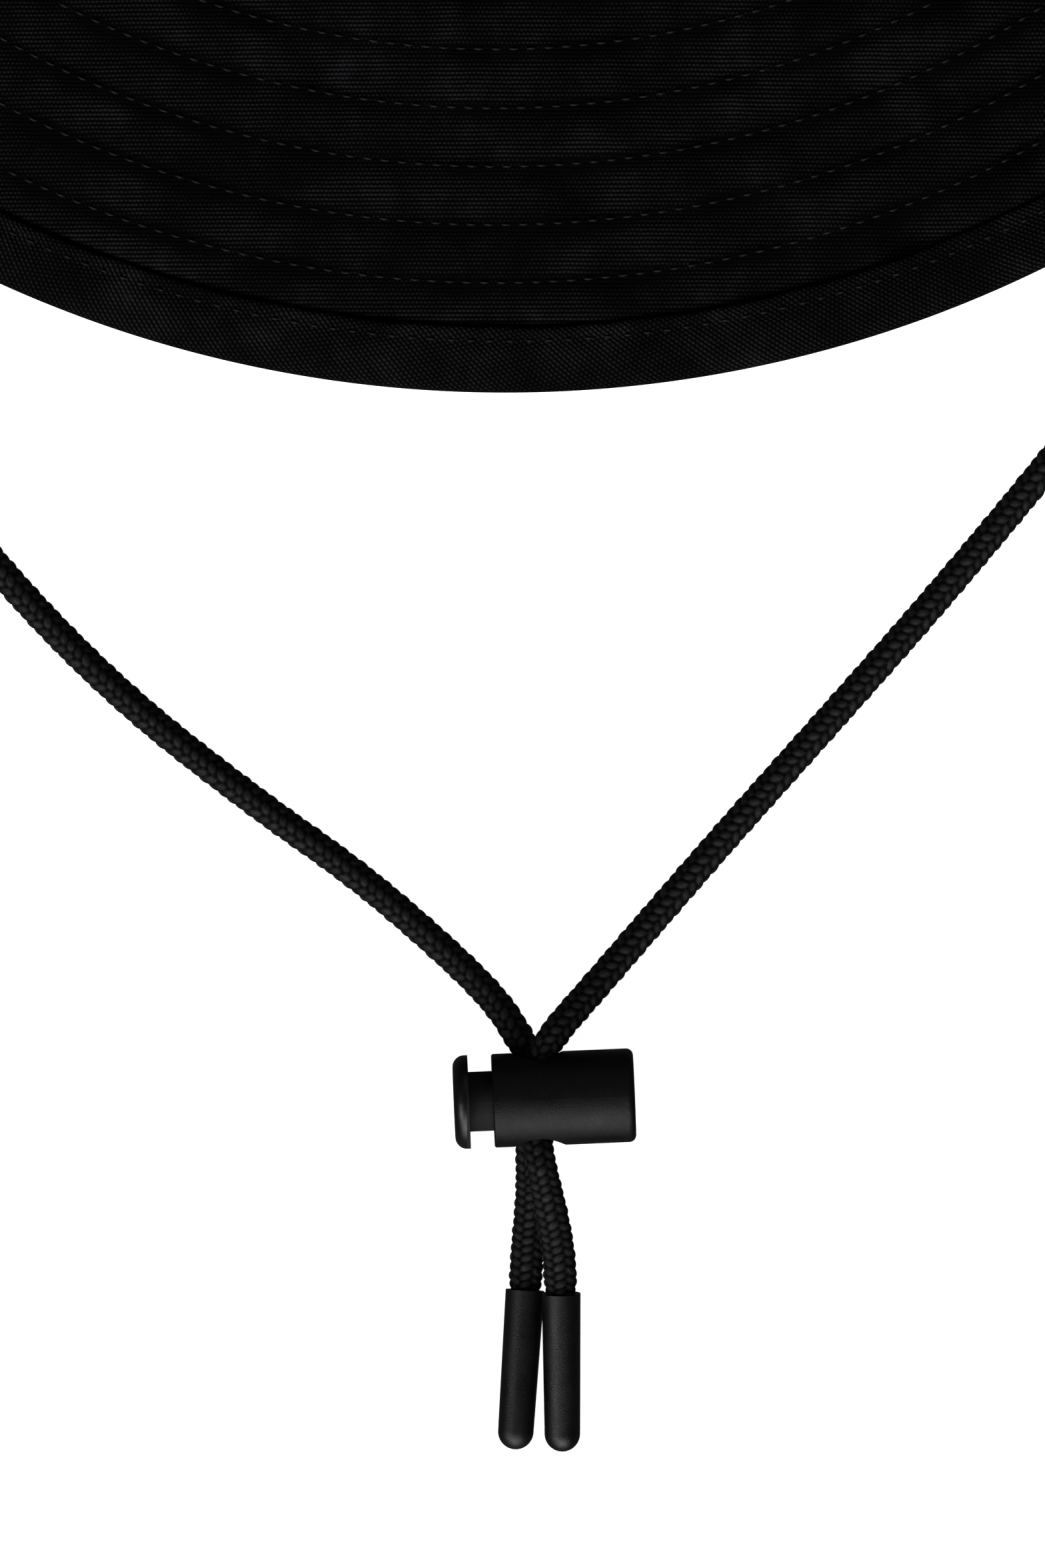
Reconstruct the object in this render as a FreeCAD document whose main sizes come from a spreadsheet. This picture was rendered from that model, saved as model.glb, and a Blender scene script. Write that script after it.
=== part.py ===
import FreeCAD, Part
import math
import os
import re
import Sketcher

# Bucket hat standing on its brim, with its chin cord laid out in front of it.
# Origin: on the surface the hat stands on, in the middle of the hat. +Z up, the front at -Y.
# The brim touches the surface at the front and at the back, and rises at both sides,
# where the two ends of the cord come out from under it.

Vector = FreeCAD.Vector
doc = FreeCAD.newDocument("BucketHat")

# ---- sizes, in millimetres and degrees ----

SIZES = [
    ("head_radius", 94.5, "outside of the crown at the head seam"),
    ("crown_top_radius", 84, "outside of the crown at its top edge"),
    ("crown_height", 88, "head seam to the crown's top edge"),
    ("crown_dome", 4, "rise of the round top panel at its middle"),
    ("canvas", 0.8, "outer cloth, crown and brim"),
    ("lining_cloth", 0.4, "lining cloth"),
    ("band_height", 32, "sweatband, from the head seam up"),
    ("band_cloth", 1, "sweatband"),
    ("seam_height", 32, "height of the head seam above the surface"),
    ("brim_radius", 156, "outer edge of the binding, seen from above"),
    ("side_lift", 22, "rise of the brim's edge at the two sides"),
    ("touching_angle", 15, "half of the part of the edge that touches the surface, front and back"),
    ("interlining", 1, "stiff layer inside the brim"),
    ("binding_width", 8, "bound edge, seen from above"),
    ("binding_cloth", 0.8, "binding"),
    ("binding_gap", 0.05, "binding to the brim inside it"),
    ("eyelet_bore", 5, "hole through an eyelet, across"),
    ("eyelet_flange", 9.2, "outer flange of an eyelet, across"),
    ("eyelet_spread", 11, "eyelets to the side seam, in degrees round the crown"),
    ("eyelet_height", 54, "eyelets above the head seam, along the axis"),
    ("tab_inset", 3.1, "middle of a cord tab, inside the crown's face at the head seam"),
    ("tab_height", 12, "cord tab, hanging from the head seam"),
    ("tab_width", 16, "cord tab, flange to flange"),
    ("tab_tape", 0.9, "tape of the cord tab"),
    ("label_width", 28, "care label"),
    ("label_height", 30, "care label"),
    ("label_cloth", 0.3, "care label"),
    ("cord_width", 4, "chin cord, across"),
    ("grip_width", 3.3, "cord where the lock squeezes it, across"),
    ("grip_height", 2.8, "cord where the lock squeezes it, upright"),
    ("grip_length", 14.3, "squeezed stretch, through the lock and a little out of it"),
    ("lock_east", 4.23, "cord hole of the lock, to the right of the hat's middle"),
    ("lock_south", 245.6, "cord hole of the lock, in front of the hat's middle"),
    ("lock_turn", 2.4, "how far the lock lies turned, in degrees"),
    ("lock_rest", 0.02, "lock above the surface"),
    ("barrel_width", 11.9, "barrel of the lock, across"),
    ("barrel_length", 18, "barrel of the lock"),
    ("barrel_end", 1.2, "closed end of the barrel"),
    ("barrel_edge", 0.9, "bevel round the closed end"),
    ("hole_width", 6.5, "cord hole through the barrel"),
    ("hole_place", 5.8, "middle of the cord hole to the open end"),
    ("plunger_width", 7.6, "plunger, across"),
    ("plunger_play", 0.06, "plunger to the barrel's bore, all round"),
    ("plunger_wall", 2.3, "plunger between its cord slot and its inner end"),
    ("slot_length", 6, "cord slot of the plunger"),
    ("slot_height", 5.9, "cord slot of the plunger, upright"),
    ("slot_corner", 1.2, "corners of the cord slot"),
    ("slot_place", 1.6, "middle of the cord slot to the middle of the cord hole"),
    ("cap_width", 11.9, "head of the plunger, across"),
    ("cap_rim", 0.45, "head of the plunger, straight part of its edge"),
    ("cap_round", 1.5, "head of the plunger, rounding of its edge"),
    ("cap_gap", 3, "head of the plunger to the open end of the barrel"),
    ("spring_wire", 0.6, "wire of the coil spring"),
    ("spring_width", 6.6, "coil spring, outside"),
    ("spring_turns", 5, "turns of the coil spring"),
    ("tip_width", 4.95, "cord tip, across its mouth"),
    ("tip_end_width", 4.55, "cord tip, across where its round end starts"),
    ("tip_length", 20.3, "cord tip"),
    ("tip_bore", 3.6, "hole in the cord tip"),
    ("tip_grip", 8, "cord inside its tip"),
]

sheet = doc.addObject("Spreadsheet::Sheet", "Sizes")
for row, (alias, size, meaning) in enumerate(SIZES, start=1):
    sheet.set(f"A{row}", meaning)
    sheet.set(f"B{row}", str(size))
    sheet.setAlias(f"B{row}", alias)
doc.recompute()
ALIASES = {alias for alias, size, meaning in SIZES}
pieces = []


def in_sheet(formula):
    """The formula with the name of each size pointing at its cell."""
    return re.sub("[a-z_]+", lambda name: f"Sizes.{name[0]}" if name[0] in ALIASES else name[0], formula)


def value(formula):
    """What a formula comes to with the sheet as it is."""
    return float(sheet.evalExpression(in_sheet(formula)))


def bind(item, **formulas):
    """Tie an object's properties to the sheet."""
    for name, formula in formulas.items():
        item.setExpression(name, in_sheet(formula))
    return item


def made(kind, name, **formulas):
    """A Part primitive whose sizes come from the sheet."""
    return bind(doc.addObject(kind, name), **formulas)


def joined(name, *parts):
    fuse = doc.addObject("Part::MultiFuse", name)
    fuse.Shapes = list(parts)
    return fuse


def cut(name, base, *tools):
    """The base with each tool taken out of it in turn."""
    for number, tool in enumerate(tools, start=1):
        step = doc.addObject("Part::Cut", f"{name}_{number}")
        step.Base = base
        step.Tool = tool
        base = step
    return base


def keep(node, item):
    """Make an object one of the hat's pieces."""
    item.Label = node
    pieces.append(item)
    return item


def solid_piece(node, shape):
    """A piece whose shape is worked out in code."""
    feature = doc.addObject("Part::Feature", node)
    feature.Shape = shape
    return keep(node, feature)


# ---- sketches, for the turned and cut pieces ----


def sketch_on(body, role, name):
    sketch = body.newObject("Sketcher::SketchObject", name)
    plane = next(item for item in body.Origin.OriginFeatures if item.Role == role)
    sketch.AttachmentSupport = [(plane, "")]
    sketch.MapMode = "FlatFace"
    return sketch


def side_between(start, end, radius):
    """One side of an outline: a line, or an arc of that radius. Its ends as (curve, start, end)."""
    if not radius:
        return Part.LineSegment(start, end), 1, 2
    chord = end - start
    middle = (start + end) / 2
    left = Vector(-chord.y, chord.x, 0).normalize()
    reach = math.sqrt(radius**2 - (chord.Length / 2) ** 2)
    centre = middle + left * math.copysign(reach, radius)
    turning_left = radius > 0
    first, last = (start, end) if turning_left else (end, start)
    angles = [math.atan2(corner.y - centre.y, corner.x - centre.x) for corner in (first, last)]
    arc = Part.ArcOfCircle(Part.Circle(centre, Vector(0, 0, 1), abs(radius)), *angles)
    return (arc, 1, 2) if turning_left else (arc, 2, 1)


def outline(sketch, corners, arcs=()):
    """A closed outline. corners are (across, up) formulas, and arcs gives a radius formula by the
    number of the corner it starts at, with a minus in front when it bends to the right."""
    arcs = dict(arcs)
    places = [Vector(value(across), value(up), 0) for across, up in corners]
    ends = []
    for number, start in enumerate(places):
        radius = value(arcs[number]) if number in arcs else 0
        curve, first, last = side_between(start, places[(number + 1) % len(places)], radius)
        ends.append((sketch.addGeometry(curve, False), first, last))
    for number, (geometry, first, last) in enumerate(ends):
        before, _, before_last = ends[number - 1]
        sketch.addConstraint(Sketcher.Constraint("Coincident", before, before_last, geometry, first))
        for kind, formula, place in zip(
            ("DistanceX", "DistanceY"), corners[number], (places[number].x, places[number].y)
        ):
            added = sketch.addConstraint(Sketcher.Constraint(kind, geometry, first, place))
            sketch.setExpression(f"Constraints[{added}]", in_sheet(formula))
        if number in arcs:
            formula = arcs[number].lstrip("-")
            added = sketch.addConstraint(Sketcher.Constraint("Radius", geometry, value(formula)))
            sketch.setExpression(f"Constraints[{added}]", in_sheet(formula))


def turned(name, axis, corners, arcs=()):
    """A body turned about the sketch's upright axis (V_Axis) or level axis (H_Axis)."""
    body = doc.addObject("PartDesign::Body", name)
    sketch = sketch_on(body, "XZ_Plane", f"{name}_outline")
    outline(sketch, corners, arcs)
    turning = body.newObject("PartDesign::Revolution", f"{name}_turning")
    turning.Profile = sketch
    turning.ReferenceAxis = (sketch, [axis])
    turning.Angle = 360
    doc.recompute()
    return body


def pocket_through(body, sketch):
    """Cut a sketch through the whole body, both ways from its plane."""
    before = body.Shape.Volume
    pocket = body.newObject("PartDesign::Pocket", f"{sketch.Name}_pocket")
    pocket.Profile = sketch
    pocket.Type = "ThroughAll"
    pocket.SideType = "Symmetric"
    doc.recompute()
    if not body.Shape.Volume < before:
        raise ValueError(f"{pocket.Name} cuts nothing")


# ---- crown: side panels, lining and sweatband are shells of one cone ----

TAPER = "(head_radius - crown_top_radius) / crown_height"
taper = value(TAPER)
taper_angle = math.atan(taper)
TOP = "seam_height + crown_height"


def cone(name, inward, height, angle, turn=0):
    """A cone from the head seam up, moved inward from the outside of the crown."""
    item = made(
        "Part::Cone",
        name,
        Radius1=f"head_radius - ({inward})",
        Radius2=f"head_radius - ({inward}) - ({height}) * {TAPER}",
        Height=height,
    )
    item.Angle = angle
    item.Placement.Rotation = FreeCAD.Rotation(Vector(0, 0, 1), turn)
    return bind(item, **{"Placement.Base.z": "seam_height"})


def cone_shell(name, outside, inside, height, angle=360, turn=0):
    outer = cone(f"{name}_outer", outside, height, angle, turn)
    return cut(name, outer, cone(f"{name}_inner", inside, height, 360))


def eyelet_placement(turn):
    """Where an eyelet sits: its own Z points out of the crown, its zero is on the canvas."""
    radius = value(f"head_radius - eyelet_height * {TAPER}")
    turn = math.radians(turn)
    place = Vector(radius * math.cos(turn), radius * math.sin(turn), value("seam_height + eyelet_height"))
    level = math.cos(taper_angle)
    outward = Vector(level * math.cos(turn), level * math.sin(turn), math.sin(taper_angle))
    return FreeCAD.Placement(place, FreeCAD.Rotation(Vector(0, 0, 1), outward))


spread = value("eyelet_spread")
EYELETS = {
    "right_rear": spread,
    "left_rear": 180 - spread,
    "left_front": 180 + spread,
    "right_front": 360 - spread,
}
EYELET_CLEARANCE = 0.1
EYELET_TUBE = 0.4
eyelet_drills = {}
for place, turn in EYELETS.items():
    drill = made(
        "Part::Cylinder",
        f"eyelet_drill_{place}",
        Radius=f"eyelet_bore / 2 + {EYELET_TUBE + EYELET_CLEARANCE}",
        Height="canvas * 20",
    )
    from_inside = FreeCAD.Placement(Vector(0, 0, -value("canvas * 10")), FreeCAD.Rotation())
    drill.Placement = eyelet_placement(turn).multiply(from_inside)
    eyelet_drills[place] = drill

for half, turn in {"back": 0, "front": 180}.items():
    drills = [drill for place, drill in eyelet_drills.items() if place.endswith(half.replace("back", "rear"))]
    outer = cone_shell(f"crown_shell_{half}", "0", "canvas", "crown_height", 180, turn)
    keep(f"crown_side_{half}", cut(f"crown_side_{half}", outer, *drills))
    inner = cone_shell(f"lining_shell_{half}", "canvas", "canvas + lining_cloth", "crown_height", 180, turn)
    keep(f"lining_side_{half}", cut(f"lining_side_{half}", inner, *drills))

LINING_INSIDE = "canvas + lining_cloth"
BAND_INSIDE = f"{LINING_INSIDE} + band_cloth"
keep("sweatband", cone_shell("sweatband", LINING_INSIDE, BAND_INSIDE, "band_height"))

DOME = "((crown_top_radius * crown_top_radius + crown_dome * crown_dome) / (2 * crown_dome))"
crown_tip = turned(
    "crown_tip_body",
    "V_Axis",
    [
        ("0", f"{TOP} + crown_dome"),
        ("crown_top_radius", TOP),
        ("crown_top_radius", f"{TOP} + canvas"),
        ("0", f"{TOP} + canvas + crown_dome"),
    ],
    {0: f"-{DOME}", 2: DOME},
)
keep("crown_tip", crown_tip)

# the lining's round panel hangs a little below the crown's, inside the lining's side panels
LINING_TIP = "(crown_top_radius - canvas - lining_cloth)"
LINING_DOME = f"(({LINING_TIP} * {LINING_TIP} + crown_dome * crown_dome) / (2 * crown_dome))"
lining_tip = turned(
    "lining_tip_body",
    "V_Axis",
    [
        ("0", f"{TOP} + crown_dome - 2 * lining_cloth"),
        (LINING_TIP, f"{TOP} - 2 * lining_cloth"),
        (LINING_TIP, f"{TOP} - lining_cloth"),
        ("0", f"{TOP} + crown_dome - lining_cloth"),
    ],
    {0: f"-{LINING_DOME}", 2: LINING_DOME},
)
keep("lining_tip", lining_tip)

# ---- eyelets: a tube with a flange outside the crown, curled over a washer inside it ----

WASHER_TOP = "0 - canvas - lining_cloth - 0.2"
WASHER_BOTTOM = f"{WASHER_TOP} - 0.4"
CURL_BOTTOM = f"{WASHER_BOTTOM} - 0.5"
BORE = "eyelet_bore / 2"
TUBE = f"{BORE} + {EYELET_TUBE}"
for place, turn in EYELETS.items():
    eyelet = turned(
        f"eyelet_{place}_body",
        "V_Axis",
        [
            (BORE, "0.5"),
            (BORE, CURL_BOTTOM),
            (f"{TUBE} + 0.8", CURL_BOTTOM),
            (f"{TUBE} + 0.8", WASHER_BOTTOM),
            (TUBE, WASHER_BOTTOM),
            (TUBE, "0"),
            ("eyelet_flange / 2", "0"),
            ("eyelet_flange / 2 - 0.3", "0.4"),
            (f"{BORE} + 0.4", "0.8"),
        ],
    )
    eyelet.Placement = eyelet_placement(turn)
    keep(f"eyelet_{place}", eyelet)
    washer = turned(
        f"eyelet_washer_{place}_body",
        "V_Axis",
        [
            (f"{TUBE} + 0.05", WASHER_BOTTOM),
            ("eyelet_flange / 2 + 0.3", WASHER_BOTTOM),
            ("eyelet_flange / 2 + 0.3", WASHER_TOP),
            (f"{TUBE} + 0.05", WASHER_TOP),
        ],
    )
    washer.Placement = eyelet_placement(turn)
    keep(f"eyelet_washer_{place}", washer)

# ---- care label: sewn at the top of the sweatband, at the back ----

label = made("Part::Box", "care_label", Length="label_width", Width="label_cloth", Height="label_height")
label_radius = value(f"head_radius - ({BAND_INSIDE}) - band_height * {TAPER}")
label_bow = label_radius - math.sqrt(label_radius**2 - value("label_width / 2") ** 2)
LABEL_CLEARANCE = 0.3
label.Placement = FreeCAD.Placement(
    Vector(
        -value("label_width / 2"),
        label_radius - label_bow - value("label_cloth") - LABEL_CLEARANCE + value("label_height") * taper,
        value("seam_height + band_height - label_height"),
    ),
    FreeCAD.Rotation(Vector(1, 0, 0), math.degrees(taper_angle)),
)
keep("care_label", label)

# ---- brim: every layer follows one surface, straight from the head seam to the wavy edge ----

head_radius = value("head_radius")
brim_radius = value("brim_radius")
seam_height = value("seam_height")
binding_cloth = value("binding_cloth")
binding_gap = value("binding_gap")
CURVE_STEP = 3.75


def edge_lift(turn):
    """Rise of the brim's edge at an angle round the hat: none at the front and back."""
    from_middle = math.degrees(math.asin(min(1, abs(math.cos(math.radians(turn))))))
    touching = value("touching_angle")
    share = max(0, from_middle - touching) / (90 - touching)
    return value("side_lift") * math.sin(math.radians(90 * share)) ** 2


EDGE_LIFTS = {
    turn: edge_lift(turn) for turn in (step * CURVE_STEP for step in range(round(360 / CURVE_STEP) + 1))
}


def brim_point(radius, above, turn):
    """A point over the underside of the brim's lowest layer."""
    share = (radius - head_radius) / (brim_radius - head_radius)
    edge_height = EDGE_LIFTS[turn] + binding_cloth + binding_gap
    height = seam_height * (1 - share) + edge_height * share
    turned_by = math.radians(turn)
    return Vector(radius * math.cos(turned_by), radius * math.sin(turned_by), height + above)


def brim_curve(radius, above, start, stop):
    """One edge of a layer, from one angle to another, or all the way round."""
    turns = [turn for turn in EDGE_LIFTS if start <= turn <= stop]
    points = [brim_point(radius, above, turn) for turn in turns]
    curve = Part.BSplineCurve()
    if stop - start == 360:
        curve.interpolate(Points=points[:-1], PeriodicFlag=True)
        return curve.toShape()
    along = [Vector(-math.sin(math.radians(turn)), math.cos(math.radians(turn)), 0) for turn in (start, stop)]
    curve.interpolate(Points=points, InitialTangent=along[0], FinalTangent=along[1])
    return curve.toShape()


def brim_solid(section, start=0, stop=360):
    """A layer with that section, given as (radius, height above the surface) corners."""
    edges = [brim_curve(radius, above, start, stop) for radius, above in section]
    faces = [Part.makeRuledSurface(edge, after) for edge, after in zip(edges, edges[1:] + edges[:1])]
    if stop - start < 360:
        for end in (start, stop):
            corners = [brim_point(radius, above, end) for radius, above in section]
            faces.append(Part.Face(Part.makePolygon(corners + corners[:1])))
    shell = Part.Shell([face for item in faces for face in item.Faces])
    shell.sewShape()
    solid = Part.Solid(shell.Shells[0] if shell.Shells else shell)
    solid.fix(1e-4, 1e-4, 1e-4)
    return solid if solid.Volume > 0 else solid.reversed()


canvas = value("canvas")
layers_inside = brim_radius - binding_cloth - binding_gap
LAYERS = [("brim_under", canvas), ("brim_interlining", value("interlining")), ("brim_upper", canvas)]
height = 0
for layer, thickness in LAYERS:
    section = [
        (head_radius, height),
        (layers_inside, height),
        (layers_inside, height + thickness),
        (head_radius, height + thickness),
    ]
    solid_piece(f"{layer}_back", brim_solid(section, 0, 180))
    solid_piece(f"{layer}_front", brim_solid(section, 180, 360))
    height += thickness

# the binding is folded over the edge of all three layers
binding_inner = brim_radius - value("binding_width")
below = -binding_gap
above = height + binding_gap
binding = [
    (binding_inner, below - binding_cloth),
    (brim_radius, below - binding_cloth),
    (brim_radius, above + binding_cloth),
    (binding_inner, above + binding_cloth),
    (binding_inner, above),
    (brim_radius - binding_cloth, above),
    (brim_radius - binding_cloth, below),
    (binding_inner, below),
]
solid_piece("brim_binding", brim_solid(binding))

# ---- cord lock: barrel and plunger are turned, and the cord goes through both ----

# The lock's own frame is at the middle of its cord hole, with X along the barrel.
lock = FreeCAD.Placement(
    Vector(value("lock_east"), -value("lock_south"), value("barrel_width / 2 + lock_rest")),
    FreeCAD.Rotation(Vector(0, 0, 1), value("lock_turn")),
)
OPEN_END = "0 - hole_place"
CLOSED_END = "barrel_length - hole_place"
PLUNGER_END = "slot_length / 2 - slot_place + plunger_wall"
BARREL_BORE = "plunger_width / 2 + plunger_play"
barrel = turned(
    "lock_barrel_body",
    "H_Axis",
    [
        (OPEN_END, BARREL_BORE),
        (OPEN_END, "barrel_width / 2 - 0.2"),
        (f"{OPEN_END} + 0.2", "barrel_width / 2"),
        (f"{CLOSED_END} - barrel_edge", "barrel_width / 2"),
        (CLOSED_END, "barrel_width / 2 - barrel_edge"),
        (CLOSED_END, "0"),
        (f"{CLOSED_END} - barrel_end", "0"),
        (f"{CLOSED_END} - barrel_end", BARREL_BORE),
    ],
    {3: "-barrel_edge"},
)
hole = sketch_on(barrel, "XZ_Plane", "cord_hole")
hole_circle = hole.addGeometry(Part.Circle(Vector(0, 0, 0), Vector(0, 0, 1), value("hole_width / 2")), False)
hole.addConstraint(Sketcher.Constraint("Coincident", hole_circle, 3, -1, 1))
hole.addConstraint(Sketcher.Constraint("Radius", hole_circle, value("hole_width / 2")))
hole.setExpression("Constraints[1]", in_sheet("hole_width / 2"))
pocket_through(barrel, hole)
barrel.Placement = lock
keep("lock_barrel", barrel)

CAP_INNER = f"{OPEN_END} - cap_gap"
plunger = turned(
    "lock_plunger_body",
    "H_Axis",
    [
        (PLUNGER_END, "0"),
        (PLUNGER_END, "plunger_width / 2 - 0.4"),
        (f"{PLUNGER_END} - 0.4", "plunger_width / 2"),
        (CAP_INNER, "plunger_width / 2"),
        (CAP_INNER, "cap_width / 2"),
        (f"{CAP_INNER} - cap_rim", "cap_width / 2"),
        (f"{CAP_INNER} - cap_rim - cap_round", "cap_width / 2 - cap_round"),
        (f"{CAP_INNER} - cap_rim - cap_round", "0"),
    ],
    {5: "cap_round"},
)
SLOT_LEFT = "0 - slot_place - slot_length / 2"
SLOT_RIGHT = "slot_length / 2 - slot_place"
slot = sketch_on(plunger, "XZ_Plane", "cord_slot")
outline(
    slot,
    [
        (f"{SLOT_LEFT} + slot_corner", "0 - slot_height / 2"),
        (f"{SLOT_RIGHT} - slot_corner", "0 - slot_height / 2"),
        (SLOT_RIGHT, "slot_corner - slot_height / 2"),
        (SLOT_RIGHT, "slot_height / 2 - slot_corner"),
        (f"{SLOT_RIGHT} - slot_corner", "slot_height / 2"),
        (f"{SLOT_LEFT} + slot_corner", "slot_height / 2"),
        (SLOT_LEFT, "slot_height / 2 - slot_corner"),
        (SLOT_LEFT, "slot_corner - slot_height / 2"),
    ],
    {1: "slot_corner", 3: "slot_corner", 5: "slot_corner", 7: "slot_corner"},
)
pocket_through(plunger, slot)
plunger.Placement = lock
keep("lock_plunger", plunger)

# ---- coil spring behind the plunger, pushing it out ----

SPRING_CLEARANCE = 0.1
spring_start = value(f"{PLUNGER_END} + spring_wire / 2") + SPRING_CLEARANCE
spring_stop = value(f"{CLOSED_END} - barrel_end - spring_wire / 2") - SPRING_CLEARANCE
coil_radius = value("spring_width / 2 - spring_wire / 2")
coil_length = spring_stop - spring_start
coil = Part.makeHelix(coil_length / value("spring_turns"), coil_length, coil_radius)
wire_section = Part.Circle(Vector(coil_radius, 0, 0), Vector(0, 1, 0), value("spring_wire / 2"))
spring_shape = Part.Wire(coil).makePipeShell([Part.Wire(wire_section.toShape())], True, True)
spring = solid_piece("lock_spring", spring_shape)
along_barrel = FreeCAD.Placement(Vector(spring_start, 0, 0), FreeCAD.Rotation(Vector(0, 1, 0), 90))
spring.Placement = lock.multiply(along_barrel)

# ---- cord tabs: tape folded round the cord's end, hanging from the head seam ----

tab_radius = value("head_radius - tab_inset")
SIDES = {"left": -1, "right": 1}
TAB_SLEEVE = "cord_width / 2 + tab_tape"
for side, sign in SIDES.items():
    sleeve = made("Part::Cylinder", f"tab_sleeve_{side}", Radius=TAB_SLEEVE, Height="tab_height")
    flange = made("Part::Box", f"tab_flange_{side}", Length="tab_tape", Width="tab_width", Height="tab_height")
    space = made("Part::Cylinder", f"tab_space_{side}", Radius="cord_width / 2", Height="tab_height")
    for item in (sleeve, space):
        item.Placement.Base = Vector(sign * tab_radius, 0, 0)
    behind = sign * (tab_radius + value(TAB_SLEEVE)) - (value("tab_tape") if sign > 0 else 0)
    flange.Placement.Base = Vector(behind, -value("tab_width / 2"), 0)
    for item in (sleeve, flange, space):
        bind(item, **{"Placement.Base.z": "seam_height - tab_height"})
    keep(f"cord_tab_{side}", cut(f"cord_tab_{side}", joined(f"tab_tape_{side}", sleeve, flange), space))

# ---- chin cord: each side is a leg to the lock, a squeezed stretch in it, and a tail ----

# From the tab under the brim, down to the surface, out from under the brim and to the lock.
LEGS = {
    "left": [
        (-91.4, 0, 27.3),
        (-91.4, 0, 13.5),
        (-93, -9.5, 3.6),
        (-97.2, -28, 2.02),
        (-103.4, -54, 2.02),
        (-108, -82, 2.02),
        (-106, -108, 2.02),
        (-97.5, -133, 2.02),
        (-82.6, -155.5, 2.02),
        (-65.1, -178, 2.02),
        (-49.1, -194.5, 2.02),
        (-31.9, -208, 2.02),
        (-18.6, -217.3, 2.02),
        (-7.3, -227.1, 2.05),
        (-1, -233.4, 2.6),
        (2.6, -238.2, 3.7),
    ],
    "right": [
        (91.4, 0, 27.3),
        (91.4, 0, 13.5),
        (93.2, -9.4, 3.6),
        (98, -27.5, 2.02),
        (104.2, -51, 2.02),
        (108.2, -76, 2.02),
        (107.5, -99, 2.02),
        (101, -120.5, 2.02),
        (87.4, -141.5, 2.02),
        (70.9, -163, 2.02),
        (54.6, -182.5, 2.02),
        (41, -197.8, 2.02),
        (28.8, -211.4, 2.02),
        (18.6, -223.1, 2.2),
        (11.4, -231.4, 3.9),
        (5, -238.2, 7.3),
    ],
}
# From the lock to the mouth of the tip.
TAILS = {
    "left": [(3.2, -252.8, 4.1), (3.4, -258.4, 2.85), (2.85, -264.2, 2.4), (2.52, -269.95, 2.5)],
    "right": [(4.3, -252.8, 8.1), (5.55, -258.7, 6.95), (6.75, -264.5, 5.5), (7.1, -270.3, 4.6)],
}
# Where each tip's rounded end is.
TIP_ENDS = {"left": (1.2, -290.2, 2.3), "right": (7.28, -290.4, 2.3)}
GRIP_LEVELS = {"left": -1.45, "right": 1.45}
GRIP_SHIFT = -0.35
ARC_SHARE = 0.45


def cord_route(points, name):
    """Straight runs joined by tangent arcs, each as large as its two runs allow."""
    edges = []
    radii = []
    start = points[0]
    for before, corner, after in zip(points, points[1:], points[2:]):
        arriving = (corner - before).normalize()
        leaving = (after - corner).normalize()
        half_turn = arriving.getAngle(leaving) / 2
        setback = ARC_SHARE * min(corner.distanceToPoint(before), corner.distanceToPoint(after))
        radii.append(setback / math.tan(half_turn))
        first = corner - arriving * setback
        last = corner + leaving * setback
        inward = (leaving - arriving).normalize()
        middle = corner + inward * (radii[-1] / math.cos(half_turn) - radii[-1])
        edges.append(Part.LineSegment(start, first).toShape())
        edges.append(Part.Arc(first, middle, last).toShape())
        start = last
    edges.append(Part.LineSegment(start, points[-1]).toShape())
    print(f"{name} radii, mm:", " ".join(f"{radius:.0f}" for radius in radii))
    return Part.Wire(edges)


def tube(route, start, along, width, name):
    """The cord's tube along a route, compared with its section times its length."""
    section = Part.Wire(Part.Circle(start, along, width / 2).toShape())
    shape = route.makePipeShell([section], True, False)
    expected = math.pi * width**2 / 4 * route.Length
    print(f"{name}: {route.Length:.1f} mm long, volume {shape.Volume / expected:.4f} of the expected one")
    return shape


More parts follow.
